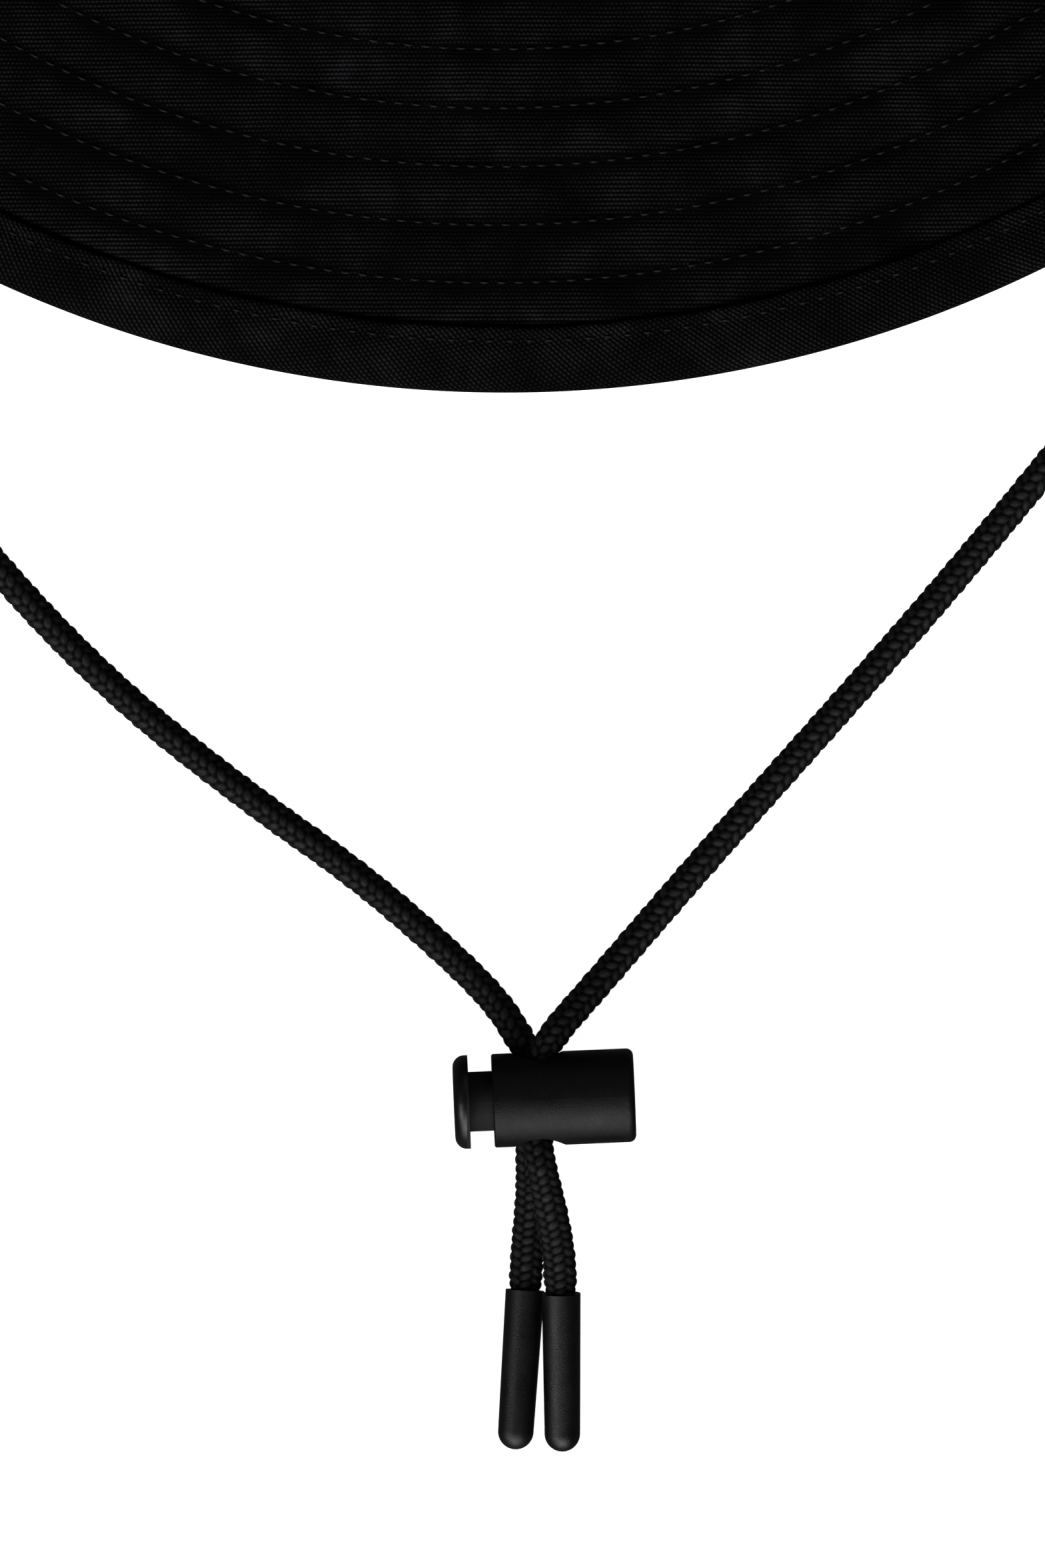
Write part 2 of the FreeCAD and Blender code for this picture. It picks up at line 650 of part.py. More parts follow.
cord_width = value("cord_width")
tip_bore = value("tip_bore")
tip_grip = value("tip_grip")
for side in SIDES:
    leg_points = [Vector(*point) for point in LEGS[side]]
    leg = cord_route(leg_points, f"cord_leg_{side}")
    leg_shape = tube(leg, leg_points[0], leg_points[1] - leg_points[0], cord_width, f"cord_leg_{side}")
    solid_piece(f"cord_leg_{side}", leg_shape)

    grip_oval = Part.Ellipse(Vector(0, 0, 0), value("grip_width / 2"), value("grip_height / 2"))
    grip_face = Part.Face(Part.Wire(grip_oval.toShape()))
    grip_shape = grip_face.extrude(Vector(0, 0, value("grip_length")))
    grip = solid_piece(f"cord_grip_{side}", grip_shape)
    through = FreeCAD.Placement(
        Vector(GRIP_SHIFT, value("grip_length / 2"), GRIP_LEVELS[side]),
        FreeCAD.Rotation(Vector(1, 0, 0), 90),
    )
    grip.Placement = lock.multiply(through)

    tail_points = [Vector(*point) for point in TAILS[side]]
    tail = cord_route(tail_points, f"cord_tail_{side}")
    tail_shape = tube(tail, tail_points[0], tail_points[1] - tail_points[0], cord_width, f"cord_tail_{side}")
    mouth = tail_points[-1]
    end = Vector(*TIP_ENDS[side])
    down_tip = (end - mouth).normalize()
    squeezed = Part.makeCylinder(tip_bore / 2, tip_grip + cord_width, mouth - down_tip * cord_width, down_tip)
    solid_piece(f"cord_tail_{side}", tail_shape.fuse(squeezed).removeSplitter())

    # the tip is a moulded tube with a round end, pressed on the end of the cord
    round_radius = "tip_end_width / 2"
    shank = made(
        "Part::Cone",
        f"tip_shank_{side}",
        Radius1="tip_width / 2",
        Radius2=round_radius,
        Height=f"tip_length - {round_radius}",
    )
    nose = made("Part::Sphere", f"tip_nose_{side}", Radius=round_radius)
    bind(nose, **{"Placement.Base.z": f"tip_length - {round_radius}"})
    bore = made("Part::Cylinder", f"tip_bore_{side}", Radius="tip_bore / 2", Height="tip_grip")
    tip = cut(f"cord_tip_{side}", joined(f"tip_body_{side}", shank, nose), bore)
    tip.Placement = FreeCAD.Placement(mouth, FreeCAD.Rotation(Vector(0, 0, 1), down_tip))
    keep(f"cord_tip_{side}", tip)

# ---- check, then write every piece ----

doc.recompute()
for item in doc.Objects:
    if "Invalid" in item.State or "Error" in item.State:
        raise ValueError(f"{item.Name} is {item.State}")
os.makedirs("parts", exist_ok=True)
for piece in pieces:
    if piece.Shape.isNull() or not piece.Shape.isValid() or not piece.Shape.Solids:
        raise ValueError(f"{piece.Label} isn't a sound solid")
for piece in pieces:
    piece.Shape.exportStep(f"parts/{piece.Label}.step")
print(len(pieces), "pieces written")
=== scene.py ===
import math

import bmesh
import bpy
import numpy as np
from mathutils import Matrix, Vector


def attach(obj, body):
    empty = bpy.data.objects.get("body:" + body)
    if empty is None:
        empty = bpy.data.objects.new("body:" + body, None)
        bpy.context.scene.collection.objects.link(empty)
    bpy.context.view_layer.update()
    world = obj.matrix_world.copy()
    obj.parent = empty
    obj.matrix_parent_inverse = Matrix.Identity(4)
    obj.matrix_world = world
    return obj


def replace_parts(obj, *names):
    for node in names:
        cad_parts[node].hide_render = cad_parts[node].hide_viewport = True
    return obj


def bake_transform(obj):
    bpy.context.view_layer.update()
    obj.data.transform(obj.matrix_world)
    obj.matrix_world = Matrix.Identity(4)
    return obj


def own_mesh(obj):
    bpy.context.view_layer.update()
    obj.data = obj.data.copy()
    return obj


# ---------------------------------------------------------------- the frame
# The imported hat: its cloth, cords and cord lock, in metres. The front is at -Y and +Z is up.
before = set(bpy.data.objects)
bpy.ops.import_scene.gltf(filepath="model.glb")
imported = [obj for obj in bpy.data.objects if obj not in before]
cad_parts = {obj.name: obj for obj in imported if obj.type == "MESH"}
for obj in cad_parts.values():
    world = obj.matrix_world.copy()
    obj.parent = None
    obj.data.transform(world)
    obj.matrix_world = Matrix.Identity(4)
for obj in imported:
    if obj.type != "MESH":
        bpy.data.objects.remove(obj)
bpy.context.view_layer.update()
MM = 0.001

# ---------------------------------------------------------------- brim cloth
# The brim is two half rings of black cotton canvas, top and under, with a stiff interlining
# between them. They are sewn together by rows of topstitching that run round as one spiral,
# and the cloth puckers between the rows because the thread pulls it in.
HEAD_RADIUS = 94.5 * MM
BRIM_RADIUS = 156 * MM
SEAM_HEIGHT = 32 * MM
SIDE_LIFT = 22 * MM
TOUCHING_ANGLE = 15
BINDING_CLOTH = 0.8 * MM
BINDING_GAP = 0.05 * MM
BRIM_THICKNESS = 2.6 * MM
BINDING_WIDTH = 8 * MM
ROW_FIRST = 142.3 * MM
ROW_PITCH = 7.15 * MM
ROW_COUNT = 7
CLOTH_INSET = 0.1 * MM
UNDER_PUCKER_SHARE = 0.7
PUCKER_SWELL = 0.4
ROW_DIP = 0.08
CANVAS_BLACK = "29282b"
WEFT_PITCH = 0.53
WARP_PITCH = 0.54


def colour(code):
    """An sRGB hex colour as linear red, green, blue and alpha."""
    parts = [int(code[at : at + 2], 16) / 255 for at in (0, 2, 4)]
    linear = [part / 12.92 if part <= 0.04045 else ((part + 0.055) / 1.055) ** 2.4 for part in parts]
    return (*linear, 1)


def node(tree, kind, inputs=None, **settings):
    """Adds a node with its settings, its input values and the sockets that feed it."""
    made = tree.nodes.new(kind)
    for name, value in settings.items():
        setattr(made, name, value)
    for name, value in (inputs or {}).items():
        if isinstance(value, bpy.types.NodeSocket):
            tree.links.new(value, made.inputs[name])
        else:
            made.inputs[name].default_value = value
    return made


def new_material(name, **look):
    """A material with its shader's constants set, and its tree and shader."""
    made = bpy.data.materials.new(name)
    made.use_nodes = True
    shader = made.node_tree.nodes["Principled BSDF"]
    for socket, value in look.items():
        shader.inputs[socket.replace("_", " ")].default_value = value
    return made, made.node_tree, shader


def brim_height(radius, turn, above):
    """Height of a layer of the brim, above the underside of its lowest cloth."""
    from_middle = np.degrees(np.arcsin(np.minimum(1, np.abs(np.cos(turn)))))
    share = np.maximum(0, from_middle - TOUCHING_ANGLE) / (90 - TOUCHING_ANGLE)
    lift = SIDE_LIFT * np.sin(np.radians(90 * share)) ** 2
    out = (radius - HEAD_RADIUS) / (BRIM_RADIUS - HEAD_RADIUS)
    return SEAM_HEIGHT * (1 - out) + (lift + BINDING_CLOTH + BINDING_GAP) * out + above


def ripple(*waves):
    """A gentle uneven wave of two numbers: a sum of cosines, each given by its size, its rates
    along the first and the second number, and its phase."""
    return lambda a, b: sum(
        size * np.cos(a * rate + b * other + phase) for size, rate, other, phase in waves
    )


def mapped_grid(name, columns, rows, place, closed=False):
    """A grid whose points are moved by place(across, along), both from 0 to 1. place gives the
    points and their cloth coordinates in millimetres, which become the piece's own UV map, and
    may add a depth from 0 to 1 for the places that the light reaches less, which the materials
    darken as painted shade."""
    bpy.ops.object.select_all(action="DESELECT")
    bpy.ops.mesh.primitive_grid_add(x_subdivisions=columns, y_subdivisions=rows, size=1)
    made = bpy.context.object
    made.name = name
    made.data.name = name
    count = len(made.data.vertices)
    flat = np.empty(count * 3)
    made.data.vertices.foreach_get("co", flat)
    flat = flat.reshape(-1, 3) + 0.5
    points, cloth, *depth = place(flat[:, 0], flat[:, 1])
    made.data.vertices.foreach_set("co", np.stack(points, axis=1).ravel())
    if depth:
        made.data.attributes.new("depth", "FLOAT", "POINT").data.foreach_set("value", depth[0])
    corners = np.empty(len(made.data.loops), int)
    made.data.loops.foreach_get("vertex_index", corners)
    layer = made.data.uv_layers.active or made.data.uv_layers.new()
    layer.name = "cloth"
    layer.data.foreach_set("uv", np.stack(cloth, axis=1)[corners].ravel())
    if closed:
        bpy.ops.object.mode_set(mode="EDIT")
        bpy.ops.mesh.select_all(action="SELECT")
        bpy.ops.mesh.remove_doubles(threshold=0.00001)
        bpy.ops.mesh.normals_make_consistent(inside=False)
        bpy.ops.object.mode_set(mode="OBJECT")
    bpy.ops.object.shade_smooth()
    return made


def apply_modifier(piece, kind, **settings):
    """Puts a modifier on a piece and applies it."""
    bpy.ops.object.select_all(action="DESELECT")
    bpy.context.view_layer.objects.active = piece
    piece.select_set(True)
    modifier = piece.modifiers.new(kind.lower(), kind)
    for name, value in settings.items():
        setattr(modifier, name, value)
    bpy.ops.object.modifier_apply(modifier=modifier.name)


def dress(piece, material):
    """Gives a piece its one material."""
    piece.data.materials.clear()
    piece.data.materials.append(material)


def woven(name, black, across, along, depth, **look):
    """Plain-weave cloth, matte and a little fuzzy. The threads are drawn at their real pitch:
    across is the pitch of the ribs, along is the pitch of the crossings on each rib."""
    made, tree, shader = new_material(
        name, Roughness=0.7, Specular_IOR_Level=0.03, Sheen_Weight=0.004, Sheen_Roughness=0.4, **look
    )
    where = node(tree, "ShaderNodeUVMap", uv_map="cloth").outputs["UV"]
    # uneven yarn: each thread wanders a little and swells a little
    wander = node(tree, "ShaderNodeTexNoise", {"Vector": where, "Scale": 0.9, "Detail": 2.0})
    shifted = node(
        tree,
        "ShaderNodeVectorMath",
        {0: wander.outputs["Color"], 1: (0.16, 0.14, 0.0), 2: where},
        operation="MULTIPLY_ADD",
    )
    split = node(tree, "ShaderNodeSeparateXYZ", {"Vector": shifted.outputs["Vector"]})
    rib = node(tree, "ShaderNodeMath", {0: split.outputs["Y"], 1: math.pi / across}, operation="MULTIPLY")
    rib = node(tree, "ShaderNodeMath", {0: rib.outputs[0]}, operation="COSINE")
    knot = node(tree, "ShaderNodeMath", {0: split.outputs["X"], 1: 2 * math.pi / along}, operation="MULTIPLY")
    knot = node(tree, "ShaderNodeMath", {0: knot.outputs[0]}, operation="COSINE")
    crossing = node(tree, "ShaderNodeMath", {0: rib.outputs[0], 1: knot.outputs[0]}, operation="MULTIPLY")
    round_rib = node(tree, "ShaderNodeMath", {0: rib.outputs[0]}, operation="ABSOLUTE")
    round_rib = node(tree, "ShaderNodeMath", {0: round_rib.outputs[0], 1: 2.5}, operation="POWER")
    weave = node(
        tree,
        "ShaderNodeMath",
        {0: crossing.outputs[0], 1: 0.42, 2: round_rib.outputs[0]},
        operation="MULTIPLY_ADD",
    )
    fibres = node(
        tree, "ShaderNodeTexNoise", {"Vector": where, "Scale": 6.0, "Detail": 4.0, "Roughness": 0.7}
    )
    height = node(
        tree,
        "ShaderNodeMath",
        {0: fibres.outputs["Fac"], 1: 1.0, 2: weave.outputs[0]},
        operation="MULTIPLY_ADD",
    )
    bump = node(tree, "ShaderNodeBump", {"Height": height.outputs[0], "Strength": 1.0, "Distance": depth})
    tree.links.new(bump.outputs["Normal"], shader.inputs["Normal"])
    # painted highlight and shade: the tops of the threads are painted greyer than the gaps, and random
    # blotches of painted shade stand for the shade of folds
    painted_fold_shade = node(
        tree, "ShaderNodeTexNoise", {"Vector": where, "Scale": 0.09, "Detail": 5.0, "Roughness": 0.68}
    )
    tone = node(
        tree,
        "ShaderNodeMath",
        {0: painted_fold_shade.outputs["Fac"], 1: 2.7, 2: height.outputs[0]},
        operation="MULTIPLY_ADD",
    )
    # painted shade: the cloth is darker where the depth attribute is high, beside the rows of stitching
    painted_shade = node(tree, "ShaderNodeAttribute", attribute_name="depth").outputs["Fac"]
    tone = node(tree, "ShaderNodeMath", {0: painted_shade, 1: -1.3, 2: tone.outputs[0]}, operation="MULTIPLY_ADD")
    ramp = node(tree, "ShaderNodeMapRange", {"Value": tone.outputs[0], "From Min": 2.3, "From Max": 3.75})
    mixed = node(
        tree,
        "ShaderNodeMix",
        {"Factor": ramp.outputs["Result"], 6: colour("000000"), 7: colour(black)},
        data_type="RGBA",
    )
    tree.links.new(mixed.outputs[2], shader.inputs["Base Color"])
    return made


canvas = woven("black cotton canvas, plain weave", CANVAS_BLACK, WEFT_PITCH, WARP_PITCH, 0.00016)

PUCKERS = ripple(
    (0.15, 0, 17.3, 0.4),
    (0.17, 0, 31.7, 2.1),
    (0.13, 0, 52.2, 4.0),
    (0.09, 0, 83.4, 1.2),
    (0.05, 0, 131.6, 5.1),
)


def row_phase(radius, front):
    """How far a point is through the rows of stitching: whole numbers lie on the thread.
    front is the angle from the middle of the front, and the rows spiral inward as it grows."""
    return (ROW_FIRST - radius) / ROW_PITCH - front / (2 * math.pi)


def brim_relief(radius, front):
    """How far the canvas stands off its flat surface, in millimetres: full between the rows,
    pulled in along them, with short folds that cross from row to row."""
    phase = row_phase(radius, front)
    edge = (BRIM_RADIUS - BINDING_WIDTH - radius) / MM
    swell = np.abs(np.sin(math.pi * phase)) ** 0.9
    along = 2 * math.pi * np.floor(phase) + front
    folds = PUCKERS(0, along) * (1 + 0.8 * np.sin(along * 3.1))
    outer_band = np.clip((phase + 0.9) / 0.2, 0, 1) * (phase < 0)
    relief = swell * (PUCKER_SWELL + folds * (1.4 + 0.9 * outer_band))
    flat_at_seam = np.clip((radius - HEAD_RADIUS) / (3 * MM), 0, 1)
    return relief * np.clip(edge / 1.2, 0, 1) * flat_at_seam - ROW_DIP


def shade_along_rows(radius, front):
    """How much painted shade darkens the cloth beside the thread, from 0 to 1: most just outside
    each row, and more in some folds than in others."""
    outside = (row_phase(radius, front) + 0.5) % 1 - 0.5
    reach = np.where(outside < 0, 0.2, 0.07)
    uneven = 0.65 + 0.35 * np.cos(17 * front + 2 * np.cos(31 * front))
    return uneven * np.exp(-((outside / reach) ** 2))


def front_angle(turn):
    """The angle from the middle of the front, from minus to plus half a turn."""
    return (turn - 1.5 * math.pi + math.pi) % (2 * math.pi) - math.pi


def puckered_face(radius, turn, top):
    """How far the outside of the top or the under cloth lies above the brim's flat underside."""
    relief = brim_relief(radius, front_angle(turn)) * MM
    return BRIM_THICKNESS - CLOTH_INSET + relief if top else CLOTH_INSET - relief * UNDER_PUCKER_SHARE


def brim_panel(name, first_turn, top, columns, rows):
    """Half of the brim's top or under cloth, from the head seam to the inside of the binding."""
    inner = HEAD_RADIUS
    outer = BRIM_RADIUS - 3 * MM

    def place(across, along):
        turn = first_turn + math.pi * along
        radius = inner + (outer - inner) * across
        above = puckered_face(radius, turn, top)
        x = radius * np.cos(turn)
        y = radius * np.sin(turn)
        # the painted shade beside the rows goes out as the piece's depth
        shade = shade_along_rows(radius, front_angle(turn))
        return (x, y, brim_height(radius, turn, above)), (x / MM, y / MM), shade

    panel = mapped_grid(name, columns, rows, place)
    if not top:
        bpy.ops.object.mode_set(mode="EDIT")
        bpy.ops.mesh.select_all(action="SELECT")
        bpy.ops.mesh.flip_normals()
        bpy.ops.object.mode_set(mode="OBJECT")
    apply_modifier(panel, "SOLIDIFY", thickness=0.6 * MM, offset=-1)
    dress(panel, canvas)
    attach(panel, "hat")
    return panel


top_front = brim_panel("brim_top_cloth_front", math.pi, True, 76, 560)
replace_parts(top_front, "brim_upper_front", "brim_interlining_front")
top_back = brim_panel("brim_top_cloth_back", 0, True, 60, 380)
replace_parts(top_back, "brim_upper_back", "brim_interlining_back")
under_front = brim_panel("brim_under_cloth_front", math.pi, False, 50, 320)
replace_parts(under_front, "brim_under_front")
under_back = brim_panel("brim_under_cloth_back", 0, False, 50, 320)
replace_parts(under_back, "brim_under_back")

# ---------------------------------------------------------------- binding
# The brim's edge is wrapped in a strip of the same canvas, cut on the bias so that it bends
# round, folded under at its inner edge and sewn through with one row.
BINDING_ROW = BRIM_RADIUS - BINDING_WIDTH + 1.6 * MM
BINDING_SECTION = [
    (148.35, 2.45),
    (147.95, 2.75),
    (147.85, 3.15),
    (148.1, 3.5),
    (148.6, 3.6),
    (149.1, 3.5),
    (149.6, 3.32),
    (150.1, 3.5),
    (150.8, 3.68),
    (151.8, 3.72),
    (153, 3.66),
    (154.2, 3.5),
    (155.2, 3.2),
    (155.8, 2.7),
    (156, 2),
    (156, 0.8),
    (155.8, -0.1),
    (155.2, -0.6),
    (154.2, -0.8),
    (151.6, -0.85),
    (149.6, -0.72),
    (148.6, -0.8),
    (148.1, -0.6),
    (148.2, -0.1),
    (149, 0.05),
    (151, 0.03),
    (153.5, 0.05),
    (154.8, 0.35),
    (155.1, 1.2),
    (154.8, 2.2),
    (153.5, 2.85),
    (151, 2.85),
    (149.4, 2.6),
]

bias_canvas = woven("black cotton canvas, cut on the bias", "29282a", WEFT_PITCH, 0.6, 0.00014)
BINDING_FOLDS = ripple((0.1, 1, 43, 0.3), (0.07, -1, 97, 1.9), (0.05, 2, 171, 3.3))


def binding_place(across, along):
    section = np.array(BINDING_SECTION + BINDING_SECTION[:1])
    steps = np.hypot(*np.diff(section, axis=0).T)
    reached = np.concatenate([[0], np.cumsum(steps)])
    at = np.round(across * (len(section) - 1)).astype(int)
    turn = 2 * math.pi * along
    on_top = np.clip((section[at, 1] - 1.3) / 1.3, 0, 1)
    fold = BINDING_FOLDS(section[at, 0] * 0.4, turn)
    radius = (section[at, 0] + 0.8 * fold * on_top * (section[at, 0] < 149)) * MM
    above = (section[at, 1] + fold * on_top) * MM
    length = turn * 150
    u = (length + reached[at]) / math.sqrt(2)
    v = (length - reached[at]) / math.sqrt(2)
    return (radius * np.cos(turn), radius * np.sin(turn), brim_height(radius, turn, above)), (u, v)


binding = mapped_grid("brim_edge_binding", len(BINDING_SECTION), 1440, binding_place, closed=True)
dress(binding, bias_canvas)
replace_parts(binding, "brim_binding")
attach(binding, "hat")

# ---------------------------------------------------------------- topstitching
# Black polyester thread. Each stitch is a short length of thread that comes up out of the
# cloth, lies over it and goes down again, so it sits in a small dimple.
STITCH_LENGTH = 1.3 * MM
STITCH_PITCH = 2.2 * MM
THREAD_WIDTH = 0.42 * MM
STITCH_ARCH = 0.14 * MM
STITCH_RAISED = 0.03 * MM
BINDING_STITCH_LENGTH = 1.1 * MM
BINDING_STITCH_PITCH = 2.5 * MM

# dull black with a faint grey twist, so that a stitch shows only where the light catches it
thread, thread_tree, thread_shader = new_material(
    "black polyester sewing thread, twisted", Roughness=0.5, Specular_IOR_Level=0.12
)
thread_where = node(thread_tree, "ShaderNodeTexCoord").outputs["Object"]
thread_twist = node(
    thread_tree,
    "ShaderNodeTexNoise",
    {"Vector": thread_where, "Scale": 4000.0, "Detail": 3.0, "Roughness": 0.6},
)
thread_tone = node(
    thread_tree,
    "ShaderNodeMix",
    {"Factor": thread_twist.outputs["Fac"], 6: colour("020202"), 7: colour("1a191b")},
    data_type="RGBA",
)
thread_tree.links.new(thread_tone.outputs[2], thread_shader.inputs["Base Color"])
thread_bump = node(
    thread_tree,
    "ShaderNodeBump",
    {"Height": thread_twist.outputs["Fac"], "Strength": 0.6, "Distance": 0.0001},
)
thread_tree.links.new(thread_bump.outputs["Normal"], thread_shader.inputs["Normal"])


def one_stitch(length, width):
    """The points and faces of one stitch, lying along X with Z out of the cloth."""
    bpy.ops.object.select_all(action="DESELECT")
    bpy.ops.mesh.primitive_uv_sphere_add(segments=6, ring_count=6, radius=0.5)
    stitch = bpy.context.object
    bpy.ops.object.mode_set(mode="EDIT")
    bpy.ops.mesh.select_all(action="SELECT")
    bpy.ops.transform.resize(value=(width * 0.9, width, length))
    bpy.ops.object.mode_set(mode="OBJECT")
    points = np.array([vertex.co[:] for vertex in stitch.data.vertices])[:, [2, 1, 0]]
    # the sphere's faces come in a new order each time, so they are sorted
    faces = sorted(tuple(reversed(face.vertices)) for face in stitch.data.polygons)
    arch = STITCH_ARCH * (1 - (points[:, 0] / (length / 2)) ** 2)
    points[:, 2] += arch
    bpy.data.objects.remove(stitch)
    return points, faces


def sewn(name, centres, forward, outward, length=STITCH_LENGTH, width=THREAD_WIDTH):
    """One stitch copied to each centre, lying along forward on cloth that faces outward."""
    points, faces = one_stitch(length, width)
    forward = forward / np.linalg.norm(forward, axis=1, keepdims=True)
    sideways = np.cross(outward, forward)
    sideways /= np.linalg.norm(sideways, axis=1, keepdims=True)
    outward = np.cross(forward, sideways)
    placed = (
        centres[:, None]
        + points[None, :, :1] * forward[:, None]
        + points[None, :, 1:2] * sideways[:, None]
        + points[None, :, 2:] * outward[:, None]
    )
    count = len(points)
    everywhere = [
        tuple(corner + count * copy for corner in face) for copy in range(len(centres)) for face in faces
    ]
    mesh = bpy.data.meshes.new(name)
    mesh.from_pydata(placed.reshape(-1, 3).tolist(), [], everywhere)
    made = bpy.data.objects.new(name, mesh)
    bpy.context.collection.objects.link(made)
    bpy.ops.object.select_all(action="DESELECT")
    made.select_set(True)
    bpy.context.view_layer.objects.active = made
    bpy.ops.object.shade_smooth()
    dress(made, thread)
    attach(made, "hat")


def brim_seam(name, turns, surface, outward, length=STITCH_LENGTH, pitch=STITCH_PITCH):
    """A row of stitches that follows surface(turns) from the first number of turns to the last."""
    fine = np.linspace(*turns, 4000 * max(1, round(turns[1] - turns[0])))
    line = surface(fine)
    reached = np.concatenate([[0], np.cumsum(np.linalg.norm(np.diff(line, axis=0), axis=1))])
    count = int(reached[-1] / pitch)
    at = np.interp((np.arange(count) + 0.5) * pitch, reached, fine)
    step = 0.0003
    centres = surface(at)
    sewn(name, centres, surface(at + step) - centres, outward(at), length)


def around(turns):
    """The angle about the hat's axis after some turns from the middle of the back."""
    return 2 * math.pi * turns + math.pi / 2


def spiral_surface(top):
    def surface(turns):
        turn = around(turns)
        radius = ROW_FIRST - ROW_PITCH * (turns - 0.5)
        above = puckered_face(radius, turn, top)
        above = above + STITCH_RAISED if top else above - STITCH_RAISED
        height = brim_height(radius, turn, above)
        return np.stack([radius * np.cos(turn), radius * np.sin(turn), height], axis=1)

    return surface


def brim_outward(sign, slope=0.45):
    def outward(turns):
        turn = around(turns)
        return sign * np.stack([slope * np.cos(turn), slope * np.sin(turn), np.ones(len(turn))], axis=1)

    return outward


brim_seam("brim_topstitching", (0, ROW_COUNT - 0.4), spiral_surface(True), brim_outward(1))
brim_seam("brim_topstitching_under", (0, ROW_COUNT - 0.4), spiral_surface(False), brim_outward(-1))


def binding_line(above):
    def surface(turns):
        turn = around(turns)
        fold = BINDING_FOLDS(BINDING_ROW / MM * 0.4, turn) * (above > 0)
        height = brim_height(BINDING_ROW, turn, (above + fold) * MM)
        return np.stack([BINDING_ROW * np.cos(turn), BINDING_ROW * np.sin(turn), height], axis=1)

    return surface


binding_stitch = (BINDING_STITCH_LENGTH, BINDING_STITCH_PITCH)
brim_seam("binding_stitching", (0, 1), binding_line(3.36), brim_outward(1), *binding_stitch)
brim_seam("binding_stitching_under", (0, 1), binding_line(-0.74), brim_outward(-1), *binding_stitch)

# ---------------------------------------------------------------- crown
# Two side panels and a round top panel of the same canvas, joined by a seam round the top
# and a seam at each side, each with a row of topstitching on both sides of it.
CROWN_HEIGHT = 88 * MM
CROWN_TOP_RADIUS = 84 * MM
CROWN_TOP = SEAM_HEIGHT + CROWN_HEIGHT
CROWN_DOME = 4 * MM
TAPER = (HEAD_RADIUS - CROWN_TOP_RADIUS) / CROWN_HEIGHT
CROWN_ROUND = 88
TOP_ROW_INSET = 4.5 * MM
BASE_ROW_HEIGHT = 3.5 * MM
SIDE_ROW_INSET = 2.6 * MM
CANVAS_THICKNESS = 0.8 * MM
CROWN_DENTS = ripple(
    (0.5, 2, 55, 0.2),
    (0.45, 3, -38, 1.1),
    (0.3, 5, 71, 2.6),
    (0.2, 9, 24, 4.4),
    (0.16, 13, -90, 0.9),
)
CROWN_FOLDS = ripple((0.16, 41, 0, 0.5), (0.12, 67, 0, 2.2), (0.1, 103, 0, 3.9))


def crown_relief(turn, height):
    """How far the side of the crown stands out, in millimetres: slack cloth with soft dents,
    pinched at the seams and puckered along them."""
    from_seam = np.abs(np.sin(turn)) * HEAD_RADIUS / MM
    to_top = (CROWN_HEIGHT - height) / MM
    from_base = height / MM
    slack = np.clip(from_base / 14, 0, 1) * np.clip(to_top / 14, 0, 1)
    pucker = CROWN_FOLDS(turn, 0) * (np.exp(-to_top / 6) + np.exp(-from_base / 6))
    rolled = -1.6 * np.clip(1 - to_top / 3.2, 0, 1) ** 2
    pinch = -0.9 * np.exp(-((from_seam / 0.9) ** 2))
    return CROWN_DENTS(turn, height) * slack + pucker + rolled + pinch


def crown_point(turn, height, out=0.0):
    radius = HEAD_RADIUS - TAPER * height + (crown_relief(turn, height) + out) * MM
    return np.stack([radius * np.cos(turn), radius * np.sin(turn), SEAM_HEIGHT + height], axis=1)


def crown_side(name, first_turn):
    def place(across, along):
        turn = first_turn + math.pi * along
        height = CROWN_HEIGHT * (1 - across)
        return tuple(crown_point(turn, height).T), (turn * CROWN_ROUND, height / MM)

    panel = mapped_grid(name, 100, 300, place)
    apply_modifier(panel, "SOLIDIFY", thickness=CANVAS_THICKNESS, offset=-1)
    dress(panel, canvas)
    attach(panel, "hat")
    return panel


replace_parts(crown_side("crown_side_cloth_front", math.pi), "crown_side_front")
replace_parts(crown_side("crown_side_cloth_back", 0), "crown_side_back")


def tip_height(radius, turn):
    """Height of the crown's round top panel: a low dome, slack, rolled down at its seam."""
    to_edge = (CROWN_TOP_RADIUS - radius) / MM
    x = radius * np.cos(turn)
    y = radius * np.sin(turn)
    dent = CROWN_DENTS(x * 22 + 2, y) + CROWN_DENTS(y * 17 - 1, x + 0.05)
    slack = np.clip(to_edge / 18, 0, 1)
    pucker = CROWN_FOLDS(turn, 0) * np.exp(-to_edge / 5)
    rolled = -1.5 * np.clip(1 - to_edge / 3.2, 0, 1) ** 2
    dome = CROWN_DOME * (1 - (radius / CROWN_TOP_RADIUS) ** 2)
    return CROWN_TOP + CANVAS_THICKNESS + dome + (dent * slack * 0.8 + pucker + rolled) * MM


def tip_place(across, along):
    turn = 2 * math.pi * along
    radius = CROWN_TOP_RADIUS * across
    x = radius * np.cos(turn)
    y = radius * np.sin(turn)
    return (x, y, tip_height(radius, turn)), (x / MM, y / MM)


crown_tip = mapped_grid("crown_tip_cloth", 90, 360, tip_place, closed=True)
apply_modifier(crown_tip, "SOLIDIFY", thickness=CANVAS_THICKNESS, offset=-1)
dress(crown_tip, canvas)
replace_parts(crown_tip, "crown_tip")
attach(crown_tip, "hat")


def round_crown(height):
    def surface(turns):
        return crown_point(around(turns), np.full(len(turns), height), 0.02)

    return surface


def crown_outward(turns):
    turn = around(turns)
    return np.stack([np.cos(turn), np.sin(turn), np.full(len(turn), TAPER)], axis=1)


def round_tip(turns):
    turn = around(turns)
    radius = np.full(len(turn), CROWN_TOP_RADIUS - TOP_ROW_INSET)
    return np.stack([radius * np.cos(turn), radius * np.sin(turn), tip_height(radius, turn)], axis=1)


